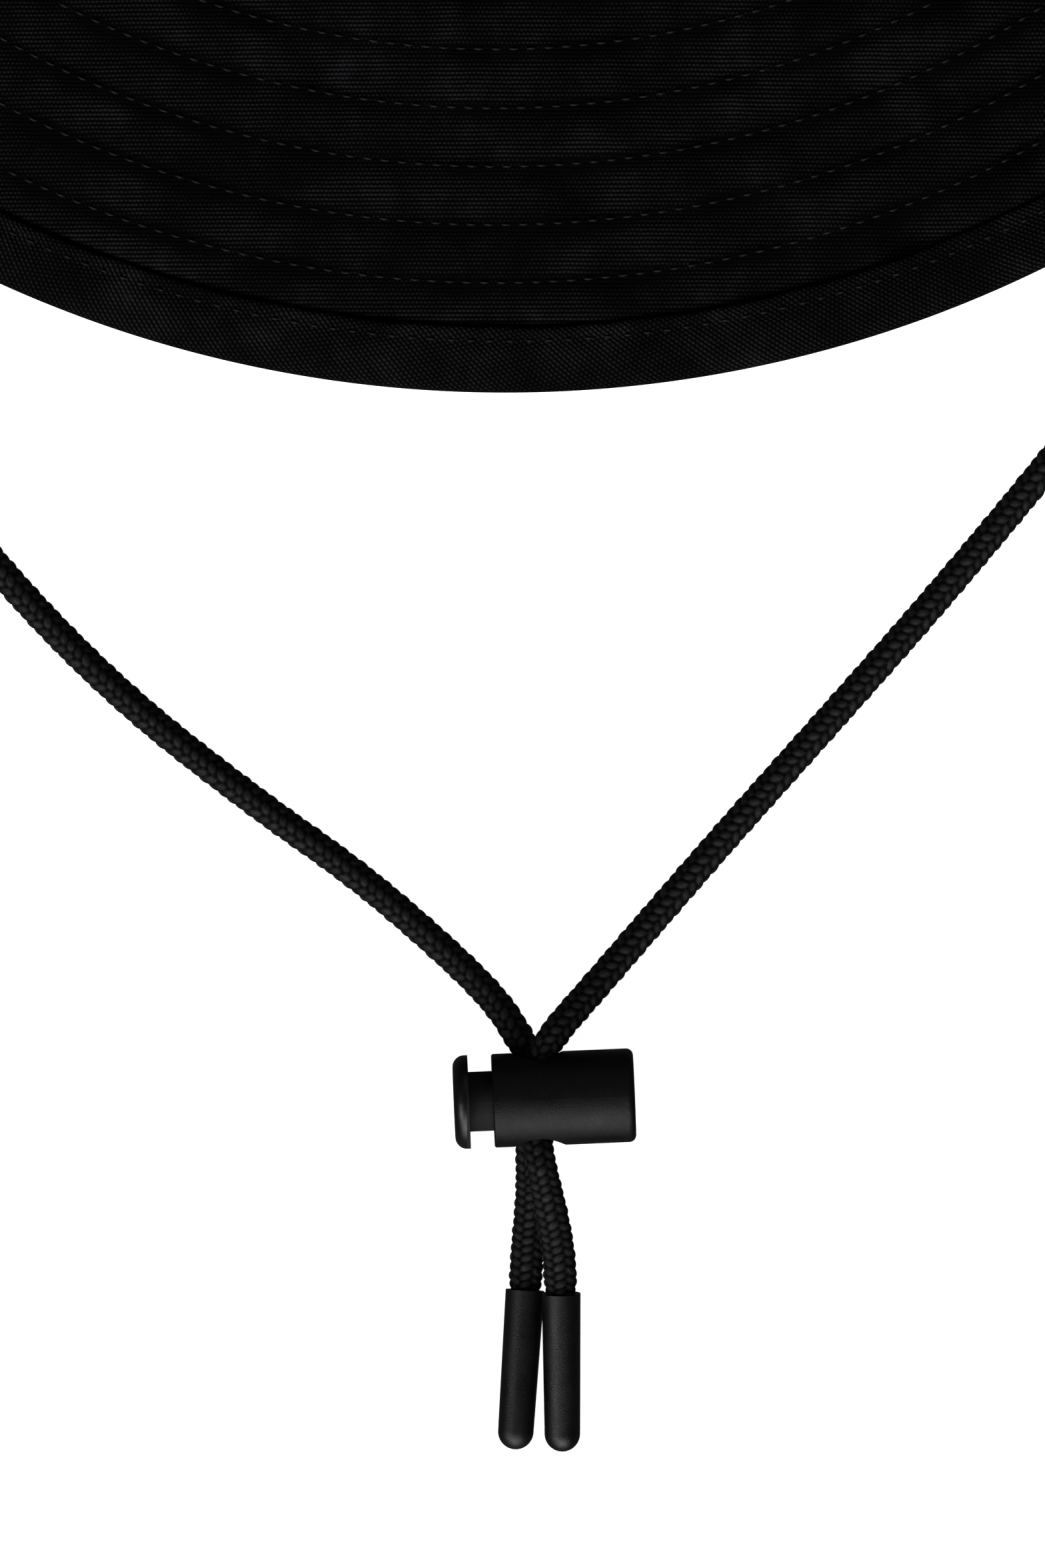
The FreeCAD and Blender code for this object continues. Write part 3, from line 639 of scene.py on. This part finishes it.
brim_seam("crown_top_stitching", (0, 1), round_crown(CROWN_HEIGHT - TOP_ROW_INSET), crown_outward)
brim_seam("crown_base_stitching", (0, 1), round_crown(BASE_ROW_HEIGHT), crown_outward)
brim_seam("crown_tip_stitching", (0, 1), round_tip, brim_outward(1, 0.05))

side_seams = []
for seam_turn in (0, math.pi):
    for beside in (-1, 1):
        heights = np.arange(2, CROWN_HEIGHT / MM - 4, STITCH_PITCH / MM) * MM
        turns = seam_turn + beside * SIDE_ROW_INSET / (HEAD_RADIUS - TAPER * heights)
        low = crown_point(turns, heights, 0.02)
        high = crown_point(turns, heights + 1 * MM, 0.02)
        outward = np.stack([np.cos(turns), np.sin(turns), np.full(len(turns), TAPER)], axis=1)
        side_seams.append((low, high - low, outward))
sewn("crown_side_seam_stitching", *(np.concatenate(parts) for parts in zip(*side_seams)))

# ---------------------------------------------------------------- lining and sweatband
# Inside the crown is a thin polyester-cotton lining, and along its foot a twill sweatband that
# covers the head seam. A blank white label is caught under the sweatband at the back.
LINING_THICKNESS = 0.4 * MM
BAND_THICKNESS = 1 * MM
BAND_HEIGHT = 32 * MM
lining_cloth = woven("black lining cloth, fine plain weave", "101012", 0.3, 0.3, 0.00006)
band_cloth = woven("black cotton twill sweatband", "121213", 0.7, 2.2, 0.00015)


def inside_ring(name, inset, low, high, thickness, waves, material, first_turn, span, rows):
    def place(across, along):
        turn = first_turn + span * along
        height = low + (high - low) * across
        slack = np.clip((height - low) / (6 * MM), 0, 1) * np.clip((high - height) / (6 * MM), 0, 1)
        radius = HEAD_RADIUS - TAPER * height - inset - np.abs(waves(turn, height)) * slack * MM
        x = radius * np.cos(turn)
        y = radius * np.sin(turn)
        return (x, y, SEAM_HEIGHT + height), (turn * CROWN_ROUND, height / MM)

    panel = mapped_grid(name, 40, rows, place, closed=span > 6)
    apply_modifier(panel, "SOLIDIFY", thickness=thickness, offset=1)
    dress(panel, material)
    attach(panel, "hat")
    return panel


LINING_INSET = CANVAS_THICKNESS + LINING_THICKNESS + 0.6 * MM
for half, first_turn in (("front", math.pi), ("back", 0)):
    lining = inside_ring(
        f"lining_side_cloth_{half}",
        LINING_INSET,
        2 * MM,
        CROWN_HEIGHT - 1 * MM,
        LINING_THICKNESS,
        CROWN_DENTS,
        lining_cloth,
        first_turn,
        math.pi,
        180,
    )
    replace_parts(lining, f"lining_side_{half}")


def lining_tip_place(across, along):
    turn = 2 * math.pi * along
    radius = (CROWN_TOP_RADIUS - LINING_INSET) * across
    x = radius * np.cos(turn)
    y = radius * np.sin(turn)
    z = tip_height(radius, turn) - CANVAS_THICKNESS - LINING_THICKNESS - 1.2 * MM
    return (x, y, z), (x / MM, y / MM)


lining_top = mapped_grid("lining_tip_cloth", 50, 180, lining_tip_place, closed=True)
apply_modifier(lining_top, "SOLIDIFY", thickness=LINING_THICKNESS, offset=-1)
dress(lining_top, lining_cloth)
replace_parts(lining_top, "lining_tip")
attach(lining_top, "hat")

band = inside_ring(
    "sweatband_cloth",
    LINING_INSET + BAND_THICKNESS,
    0,
    BAND_HEIGHT,
    BAND_THICKNESS,
    ripple((0.25, 13, 0, 0.3), (0.2, 29, 60, 1.7)),
    band_cloth,
    0,
    2 * math.pi,
    360,
)
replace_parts(band, "sweatband")

# ---------------------------------------------------------------- care label
# A blank white satin label, one layer, caught in the sweatband's seam at the back.
LABEL_WIDTH = 28 * MM
LABEL_HEIGHT = 30 * MM
label_satin = woven("white polyester satin label", "e6e4de", 0.12, 0.5, 0.00003)


def label_place(across, along):
    turn = math.pi / 2 + (along - 0.5) * LABEL_WIDTH / (85 * MM)
    height = 2 * MM + LABEL_HEIGHT * across
    bow = 0.5 * MM * np.sin(math.pi * along) + 0.3 * MM * np.sin(2 * math.pi * across)
    radius = HEAD_RADIUS - TAPER * height - LINING_INSET - 3.3 * MM - bow
    point = (radius * np.cos(turn), radius * np.sin(turn), SEAM_HEIGHT + height)
    return point, (turn * CROWN_ROUND, height / MM)


label = mapped_grid("care_label_satin", 24, 24, label_place)
apply_modifier(label, "SOLIDIFY", thickness=0.3 * MM, offset=1)
dress(label, label_satin)
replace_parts(label, "care_label")
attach(label, "hat")

# ---------------------------------------------------------------- eyelets
# Two breathing holes at each side of the crown, lined with brass eyelets lacquered black. The
# flange is rolled over outside and the barrel is flared over a washer inside.
# a dark soft shine, a little worn in spots
lacquer, lacquer_tree, lacquer_shader = new_material(
    "black lacquered brass",
    Roughness=0.34,
    Specular_IOR_Level=0.5,
    Coat_Weight=0.3,
    Coat_Roughness=0.2,
)
lacquer_where = node(lacquer_tree, "ShaderNodeTexCoord").outputs["Object"]
lacquer_wear = node(
    lacquer_tree,
    "ShaderNodeTexNoise",
    {"Vector": lacquer_where, "Scale": 900.0, "Detail": 4.0, "Roughness": 0.6},
)
lacquer_tone = node(
    lacquer_tree,
    "ShaderNodeMix",
    {"Factor": lacquer_wear.outputs["Fac"], 6: colour("0b0b0c"), 7: colour("242223")},
    data_type="RGBA",
)
lacquer_tree.links.new(lacquer_tone.outputs[2], lacquer_shader.inputs["Base Color"])
lacquer_bump = node(
    lacquer_tree,
    "ShaderNodeBump",
    {"Height": lacquer_wear.outputs["Fac"], "Strength": 0.3, "Distance": 0.00004},
)
lacquer_tree.links.new(lacquer_bump.outputs["Normal"], lacquer_shader.inputs["Normal"])
for side in ("left", "right"):
    for place in ("front", "rear"):
        for part in (f"eyelet_{side}_{place}", f"eyelet_washer_{side}_{place}"):
            dress(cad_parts[part], lacquer)

# ---------------------------------------------------------------- cord tabs
# At each side a doubled piece of twill tape is caught in the head seam, with the end of the
# cord sewn between its two layers.
TAB_RADIUS = 91.4 * MM
TAB_LOW = 20 * MM
TAB_WIDTH = 16 * MM
tab_tape = woven("black cotton twill tape", "121213", 0.6, 1.8, 0.00018)


def tab_place_at(side_turn):
    def place(across, along):
        angle = 2 * math.pi * along
        y = TAB_WIDTH / 2 * np.sign(np.cos(angle)) * np.abs(np.cos(angle)) ** 0.6
        height = np.clip((across - 0.04) / 0.92, 0, 1)
        closing = np.where((across < 0.02) | (across > 0.98), 0.0, 1.0)
        bulge = (0.9 + 1.9 * np.exp(-((y / (3.1 * MM)) ** 2)) * (1 - 0.35 * height)) * MM
        x = math.cos(side_turn) * TAB_RADIUS + bulge * np.sin(angle) * closing
        z = TAB_LOW + (SEAM_HEIGHT + 1 * MM - TAB_LOW) * height
        return (x, y * (0.02 + 0.98 * closing), z), (y / MM + 8 * np.sin(angle), z / MM)

    return place


for side, side_turn in (("left", math.pi), ("right", 0)):
    tab = mapped_grid(f"cord_tab_tape_{side}", 28, 64, tab_place_at(side_turn), closed=True)
    dress(tab, tab_tape)
    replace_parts(tab, f"cord_tab_{side}")
    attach(tab, "hat")

# ---------------------------------------------------------------- chin cord
# One soft round cord on each side, braided of black polyester. It hangs from its tab, lies on
# the table and passes through the lock, and its end is pressed into a moulded tip.
CORD_WIDTH = 4 * MM
BRAID_COLUMNS = 8
BRAID_SLANT = 0.42
BRAID_DEPTH = 0.5 * MM
BUMP_WIDTH = 0.68
BUMP_LENGTH = 0.6
LEG_PITCH = 1.4 * MM
TAIL_PITCH = 1.15 * MM
LEG_ROUTES = {
    "left": [
        (-91.4, 0, 27.3),
        (-91.4, 0, 13.5),
        (-93, -9.5, 3.6),
        (-97.2, -28, 2.02),
        (-103.4, -54, 2.02),
        (-108, -82, 2.02),
        (-106, -108, 2.02),
        (-97.5, -133, 2.02),
        (-82.6, -155.5, 2.02),
        (-65.1, -178, 2.02),
        (-49.1, -194.5, 2.02),
        (-31.9, -208, 2.02),
        (-18.6, -217.3, 2.02),
        (-7.3, -227.1, 2.05),
        (-1, -233.4, 2.6),
        (1.9, -238, 3.8),
        (3.2, -240.4, 4.4),
        (3.95, -242.6, 4.5),
        (3.95, -248.2, 4.5),
        (3.3, -250.9, 4.5),
    ],
    "right": [
        (91.4, 0, 27.3),
        (91.4, 0, 13.5),
        (93.2, -9.4, 3.6),
        (98, -27.5, 2.02),
        (104.2, -51, 2.02),
        (108.2, -76, 2.02),
        (107.5, -99, 2.02),
        (101, -120.5, 2.02),
        (87.4, -141.5, 2.02),
        (70.9, -163, 2.02),
        (54.6, -182.5, 2.02),
        (41, -197.8, 2.02),
        (28.8, -211.4, 2.02),
        (18.6, -223.1, 2.2),
        (11.4, -231.4, 3.9),
        (5.5, -238, 6.9),
        (4.2, -241.5, 7.4),
        (3.9, -244, 7.4),
        (3.9, -248.2, 7.4),
        (4.2, -250.9, 7.4),
    ],
}
TAIL_ROUTES = {
    "left": [
        (3.2, -250.5, 4.5),
        (3.2, -252.8, 4.1),
        (3.4, -258.4, 2.85),
        (2.85, -264.2, 2.4),
        (2.52, -269.95, 2.5),
        (2.07, -276.9, 2.44),
    ],
    "right": [
        (4.1, -250.5, 7.4),
        (4.3, -252.8, 8.1),
        (5.55, -258.7, 6.95),
        (6.75, -264.5, 5.5),
        (7.1, -270.3, 4.6),
        (7.16, -277.2, 3.81),
    ],
}


def smooth_line(name, points, step):
    """Points at even steps along the NURBS spline that has these points, in millimetres, as its
    control points. Returned in metres."""
    curve = bpy.data.curves.new(name, "CURVE")
    curve.dimensions = "3D"
    curve.resolution_u = 24
    spline = curve.splines.new("NURBS")
    spline.points.add(len(points) - 1)
    for control, point in zip(spline.points, points):
        control.co = (point[0] * MM, point[1] * MM, point[2] * MM, 1)
    spline.order_u = 3
    spline.use_endpoint_u = True
    holder = bpy.data.objects.new(name, curve)
    drawn = bpy.data.meshes.new_from_object(holder)
    line = np.array([vertex.co[:] for vertex in drawn.vertices])
    bpy.data.objects.remove(holder)
    bpy.data.curves.remove(curve)
    bpy.data.meshes.remove(drawn)
    reached = np.concatenate([[0], np.cumsum(np.linalg.norm(np.diff(line, axis=0), axis=1))])
    at = np.linspace(0, reached[-1], int(reached[-1] / step) + 1)
    return np.stack([np.interp(at, reached, line[:, axis]) for axis in range(3)], axis=1), at


def carried_frames(line, last_up=(0.0, 0.0, 1.0)):
    """Directions across the line at each of its points, carried along it without twist, so
    that the first of them points up at its last point."""
    ahead = np.gradient(line, axis=0)
    ahead /= np.linalg.norm(ahead, axis=1, keepdims=True)
    up = np.empty_like(line)
    current = np.array(last_up)
    for at in range(len(line) - 1, -1, -1):
        current = current - ahead[at] * (current @ ahead[at])
        current /= np.linalg.norm(current)
        up[at] = current
    return up, np.cross(ahead, up)


def braid_yarns(angle, along, pitch):
    """The braid at a place on the cord: the height of its yarns, from 0 in the gaps to 1, and how
    far the place is along them, in pitches. Each yarn shows as a rounded bump. The bumps lie in
    columns, slanting one way and the other by turns, each column half a bump on from the next."""
    across = angle / (2 * math.pi) * BRAID_COLUMNS + 0.5
    wander = 0.07 * np.sin(along / MM * 0.9 + 1) + 0.05 * np.sin(along / MM * 0.37)
    height = np.zeros(len(angle))
    nearest = np.zeros(len(angle))
    for neighbour in (-1, 0, 1):
        column = np.floor(across) + neighbour
        beside = across - column - 0.5
        other = column % 2
        steps = along / pitch + (other * 2 - 1) * beside * BRAID_SLANT + wander + other * 0.5
        within = steps % 1 - 0.5
        size = 0.93 + 0.07 * np.sin(np.floor(steps) * 2.4 + column % BRAID_COLUMNS * 1.3)
        bump = size * np.sqrt(np.maximum(0, 1 - (beside / BUMP_WIDTH) ** 2 - (within / BUMP_LENGTH) ** 2))
        nearest = np.where(bump >= height, steps, nearest)
        height = np.maximum(height, bump)
    return height, nearest


def braided(name, points, pitch, squeeze):
    """A braided cord along a route. squeeze(line) gives its width and height as shares."""
    line, reached = smooth_line(name, points, 0.145 * MM)
    up, aside = carried_frames(line)
    count = len(line)

    def place(across, along):
        at = np.round(across * (count - 1)).astype(int)
        angle = 2 * math.pi * along % (2 * math.pi)
        relief, steps = braid_yarns(angle, reached[at], pitch)
        radius = CORD_WIDTH / 2 - BRAID_DEPTH * (1 - relief)
        end = (at == 0) | (at == count - 1)
        radius = np.where(end, 0.0, radius)
        wide, high = squeeze(line[at])
        point = line[at] + up[at] * (radius * high * np.cos(angle))[:, None]
        point = point + aside[at] * (radius * wide * np.sin(angle))[:, None]
        # the depth of the gaps also goes out, for the painted shade in them
        return tuple(point.T), (2 * math.pi * along * CORD_WIDTH / 2 / MM, steps * pitch / MM), 1 - relief

    return mapped_grid(name, count - 1, 40, place, closed=True), line, reached[-1]


# black filament yarn: fine fibres with a low lustre on the tops of the bumps, and a painted highlight there
# too
cord_yarn, cord_tree, cord_shader = new_material("black polyester braid", Specular_IOR_Level=0.14)
cord_where = node(cord_tree, "ShaderNodeUVMap", uv_map="cloth").outputs["UV"]
cord_stretch = node(cord_tree, "ShaderNodeMapping", {"Vector": cord_where, "Scale": (1.6, 11.0, 1.0)})
cord_fibres = node(
    cord_tree,
    "ShaderNodeTexNoise",
    {"Vector": cord_stretch.outputs["Vector"], "Scale": 1.0, "Detail": 4.0, "Roughness": 0.65},
)
# painted shade and highlight: the gaps between the yarns are painted deep black, and their rounded tops are
# painted lighter, with painted glints along the fibres
cord_depth = node(cord_tree, "ShaderNodeAttribute", attribute_name="depth").outputs["Fac"]
cord_painted_top_light = node(cord_tree, "ShaderNodeMapRange", {"Value": cord_depth, "From Min": 0.42, "From Max": 0.08})
cord_painted_glints = node(
    cord_tree,
    "ShaderNodeMapRange",
    {"Value": cord_fibres.outputs["Fac"], "From Min": 0.38, "From Max": 0.66},
)
cord_painted_light = node(
    cord_tree,
    "ShaderNodeMath",
    {0: cord_painted_top_light.outputs["Result"], 1: cord_painted_glints.outputs["Result"]},
    operation="MULTIPLY",
)
cord_dull = node(
    cord_tree,
    "ShaderNodeMapRange",
    {"Value": cord_depth, "From Min": 0.1, "From Max": 0.45, "To Min": 0.36, "To Max": 0.95},
)
cord_tree.links.new(cord_dull.outputs["Result"], cord_shader.inputs["Roughness"])
cord_tone = node(
    cord_tree,
    "ShaderNodeMix",
    {"Factor": cord_painted_light.outputs[0], 6: colour("000000"), 7: colour("323235")},
    data_type="RGBA",
)
cord_tree.links.new(cord_tone.outputs[2], cord_shader.inputs["Base Color"])
cord_bump = node(
    cord_tree,
    "ShaderNodeBump",
    {"Height": cord_fibres.outputs["Fac"], "Strength": 0.8, "Distance": 0.00012},
)
cord_tree.links.new(cord_bump.outputs["Normal"], cord_shader.inputs["Normal"])


def squeezed_in_lock(line):
    inside = np.clip((-0.2375 - line[:, 1]) / 0.003, 0, 1)
    inside = inside * inside * (3 - 2 * inside)
    return 1 - 0.1 * inside, 1 - 0.3 * inside


def let_out_of_lock(line):
    inside = np.clip((line[:, 1] + 0.2535) / 0.003, 0, 1)
    in_tip = np.clip((-0.2685 - line[:, 1]) / 0.002, 0, 1)
    narrow = 1 - 0.05 * in_tip
    flattened = np.clip((-0.2535 - line[:, 1]) / 0.006, 0, 1) * (1 - in_tip)
    return narrow * (1 + 0.1 * flattened), (1 - 0.3 * inside) * narrow * (1 - 0.08 * flattened)


for side in ("left", "right"):
    leg, leg_line, leg_length = braided(f"chin_cord_{side}", LEG_ROUTES[side], LEG_PITCH, squeezed_in_lock)
    dress(leg, cord_yarn)
    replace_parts(leg, f"cord_leg_{side}", f"cord_grip_{side}")
    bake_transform(leg)

    tail = braided(f"chin_cord_end_{side}", TAIL_ROUTES[side], TAIL_PITCH, let_out_of_lock)[0]
    dress(tail, cord_yarn)
    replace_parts(tail, f"cord_tail_{side}")
    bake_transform(tail)

# ---------------------------------------------------------------- cord lock
# A barrel lock moulded in black plastic. A sprung plunger with a domed cap slides in the open
# end of the barrel, and its slot and the barrel's hole grip the two cords between them.


def moulded_plastic(name, shine, rough, grain, dull_past=None):
    """Black plastic from a fine-grained mould, rubbed a little smoother in patches. Past the X
    dull_past, where nothing rubs it, it keeps the mould's matte skin."""
    made, tree, shader = new_material(name, Specular_IOR_Level=shine)
    where = node(tree, "ShaderNodeTexCoord").outputs["Object"]
    specks = node(
        tree, "ShaderNodeTexNoise", {"Vector": where, "Scale": 8000.0, "Detail": 2.0, "Roughness": 0.6}
    )
    rubbed = node(
        tree, "ShaderNodeTexNoise", {"Vector": where, "Scale": 210.0, "Detail": 5.0, "Roughness": 0.7}
    )
    roughness = node(
        tree,
        "ShaderNodeMapRange",
        {
            "Value": rubbed.outputs["Fac"],
            "From Min": 0.3,
            "From Max": 0.7,
            "To Min": rough - 0.08,
            "To Max": rough + 0.08,
        },
    )
    dull = roughness.outputs["Result"]
    if dull_past is not None:
        place = node(tree, "ShaderNodeSeparateXYZ", {"Vector": where}).outputs["X"]
        past = node(tree, "ShaderNodeMath", {0: place, 1: dull_past}, operation="GREATER_THAN")
        duller = node(
            tree, "ShaderNodeMath", {0: past.outputs[0], 1: 0.4, 2: dull}, operation="MULTIPLY_ADD"
        )
        dull = duller.outputs[0]
    tree.links.new(dull, shader.inputs["Roughness"])
    tone = node(
        tree,
        "ShaderNodeMix",
        {"Factor": rubbed.outputs["Fac"], 6: colour("010101"), 7: colour("060607")},
        data_type="RGBA",
    )
    tree.links.new(tone.outputs[2], shader.inputs["Base Color"])
    bump = node(
        tree, "ShaderNodeBump", {"Height": specks.outputs["Fac"], "Strength": grain, "Distance": 0.00016}
    )
    tree.links.new(bump.outputs["Normal"], shader.inputs["Normal"])
    return made


finishes = {
    "lock_barrel": moulded_plastic("black moulded nylon, grained", 0.19, 0.4, 0.42),
    "lock_plunger": moulded_plastic("black moulded acetal", 0.35, 0.4, 0.15, -4.8 * MM),
    "cord_tip_left": moulded_plastic("black moulded cord tip", 0.33, 0.42, 0.3),
}
finishes["cord_tip_right"] = finishes["cord_tip_left"]
for part, plastic in finishes.items():
    dress(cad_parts[part], plastic)

# bright bare wire, unevenly polished
steel, steel_tree, steel_shader = new_material("spring steel wire", Metallic=1.0)
steel_where = node(steel_tree, "ShaderNodeTexCoord").outputs["Object"]
steel_marks = node(steel_tree, "ShaderNodeTexNoise", {"Vector": steel_where, "Scale": 1500.0, "Detail": 3.0})
steel_rough = node(
    steel_tree,
    "ShaderNodeMapRange",
    {"Value": steel_marks.outputs["Fac"], "From Min": 0.3, "From Max": 0.7, "To Min": 0.2, "To Max": 0.42},
)
steel_tree.links.new(steel_rough.outputs["Result"], steel_shader.inputs["Roughness"])
steel_tone = node(
    steel_tree,
    "ShaderNodeMix",
    {"Factor": steel_marks.outputs["Fac"], 6: colour("7d7f83"), 7: colour("b4b6b9")},
    data_type="RGBA",
)
steel_tree.links.new(steel_tone.outputs[2], steel_shader.inputs["Base Color"])

SPRING_WIRE = 0.6 * MM
SPRING_RADIUS = 3 * MM
SPRING_ENDS = (4.3 * MM, 10.4 * MM)
SPRING_TURNS = 5
LOCK_MIDDLE = Vector((4.23, -245.6, 5.97)) * MM
LOCK_AXIS = Vector((0.999123, 0.041876, 0))
LOCK_ASIDE = Vector((-0.041876, 0.999123, 0))


def spring_place(across, along):
    """The wire of the coil spring, closed at both ends."""
    around_wire = 2 * math.pi * along
    around_coil = 2 * math.pi * SPRING_TURNS * across
    wire = np.where((across < 0.001) | (across > 0.999), 0.0, SPRING_WIRE / 2)
    ahead = SPRING_ENDS[0] + (SPRING_ENDS[1] - SPRING_ENDS[0]) * across + wire * np.sin(around_wire)
    radius = SPRING_RADIUS + wire * np.cos(around_wire)
    aside = radius * np.cos(around_coil)
    up = radius * np.sin(around_coil)
    point = [LOCK_MIDDLE[axis] + ahead * LOCK_AXIS[axis] + aside * LOCK_ASIDE[axis] for axis in range(3)]
    return (point[0], point[1], point[2] + up), (around_wire, around_coil)


spring = mapped_grid("lock_coil_spring", SPRING_TURNS * 32, 12, spring_place, closed=True)
dress(spring, steel)
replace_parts(spring, "lock_spring")
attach(spring, "lock")
# the spring is pressed against the closed end of the barrel
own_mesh(spring)

# ---------------------------------------------------------------- table, camera and light
# The hat lies brim down on a pale table, seen straight from above, in soft even light.
VIEW_MIDDLE = (2.2 * MM, -205.7 * MM)
VIEW_HEIGHT = 198.9 * MM
CAMERA_HEIGHT = 1.5

bpy.ops.object.select_all(action="DESELECT")
bpy.ops.mesh.primitive_plane_add(size=12, location=(0, 0, 0))
table = bpy.context.object
table.name = "table"
# an even white without shadows; it sends no light or reflection back to the black hat
table_paint, table_tree, table_shader = new_material(
    "matte white table, lit from below",
    Roughness=0.85,
    Specular_IOR_Level=0.2,
    Emission_Color=(1, 1, 1, 1),
    Emission_Strength=0.97,
)
table_where = node(table_tree, "ShaderNodeTexCoord").outputs["Object"]
table_spots = node(table_tree, "ShaderNodeTexNoise", {"Vector": table_where, "Scale": 30.0, "Detail": 3.0})
table_tone = node(
    table_tree,
    "ShaderNodeMix",
    {"Factor": table_spots.outputs["Fac"], 6: colour("f3f3f3"), 7: colour("f7f7f7")},
    data_type="RGBA",
)
table_tree.links.new(table_tone.outputs[2], table_shader.inputs["Base Color"])
dress(table, table_paint)
table.visible_diffuse = False
table.visible_glossy = False

camera_data = bpy.data.cameras.new("camera")
camera_data.sensor_width = 36
camera_data.lens = 36 * (CAMERA_HEIGHT - 4 * MM) / VIEW_HEIGHT
camera_data.clip_start = 0.01
camera_data.clip_end = 50
camera = bpy.data.objects.new("camera", camera_data)
camera.location = (*VIEW_MIDDLE, CAMERA_HEIGHT)
bpy.context.collection.objects.link(camera)
bpy.context.scene.camera = camera


def softbox(name, place, towards, size, power):
    lamp = bpy.data.lights.new(name, "AREA")
    lamp.shape = "RECTANGLE"
    lamp.size = size[0]
    lamp.size_y = size[1]
    lamp.energy = power
    made = bpy.data.objects.new(name, lamp)
    made.location = place
    made.rotation_euler = (Vector(towards) - Vector(place)).to_track_quat("-Z", "Y").to_euler()
    bpy.context.collection.objects.link(made)


softbox("light_key", (-0.1, -1.9, 0.85), (0, -0.15, 0), (1.6, 1.3), 40)
softbox("light_side", (-1.3, -1.1, 1.2), (0, -0.25, 0), (0.6, 0.6), 15)
softbox("light_fill", (0.6, 1.5, 1.5), (0, -0.1, 0.05), (1.2, 0.8), 4)
softbox("light_back", (0, 1.9, 0.6), (0, 0.1, 0.05), (1.0, 0.5), 60)
world = bpy.data.worlds.new("studio")
world.use_nodes = True
world.node_tree.nodes["Background"].inputs["Color"].default_value = (1, 1, 1, 1)
world.node_tree.nodes["Background"].inputs["Strength"].default_value = 0.06
bpy.context.scene.world = world
bpy.context.scene.view_settings.view_transform = "Standard"
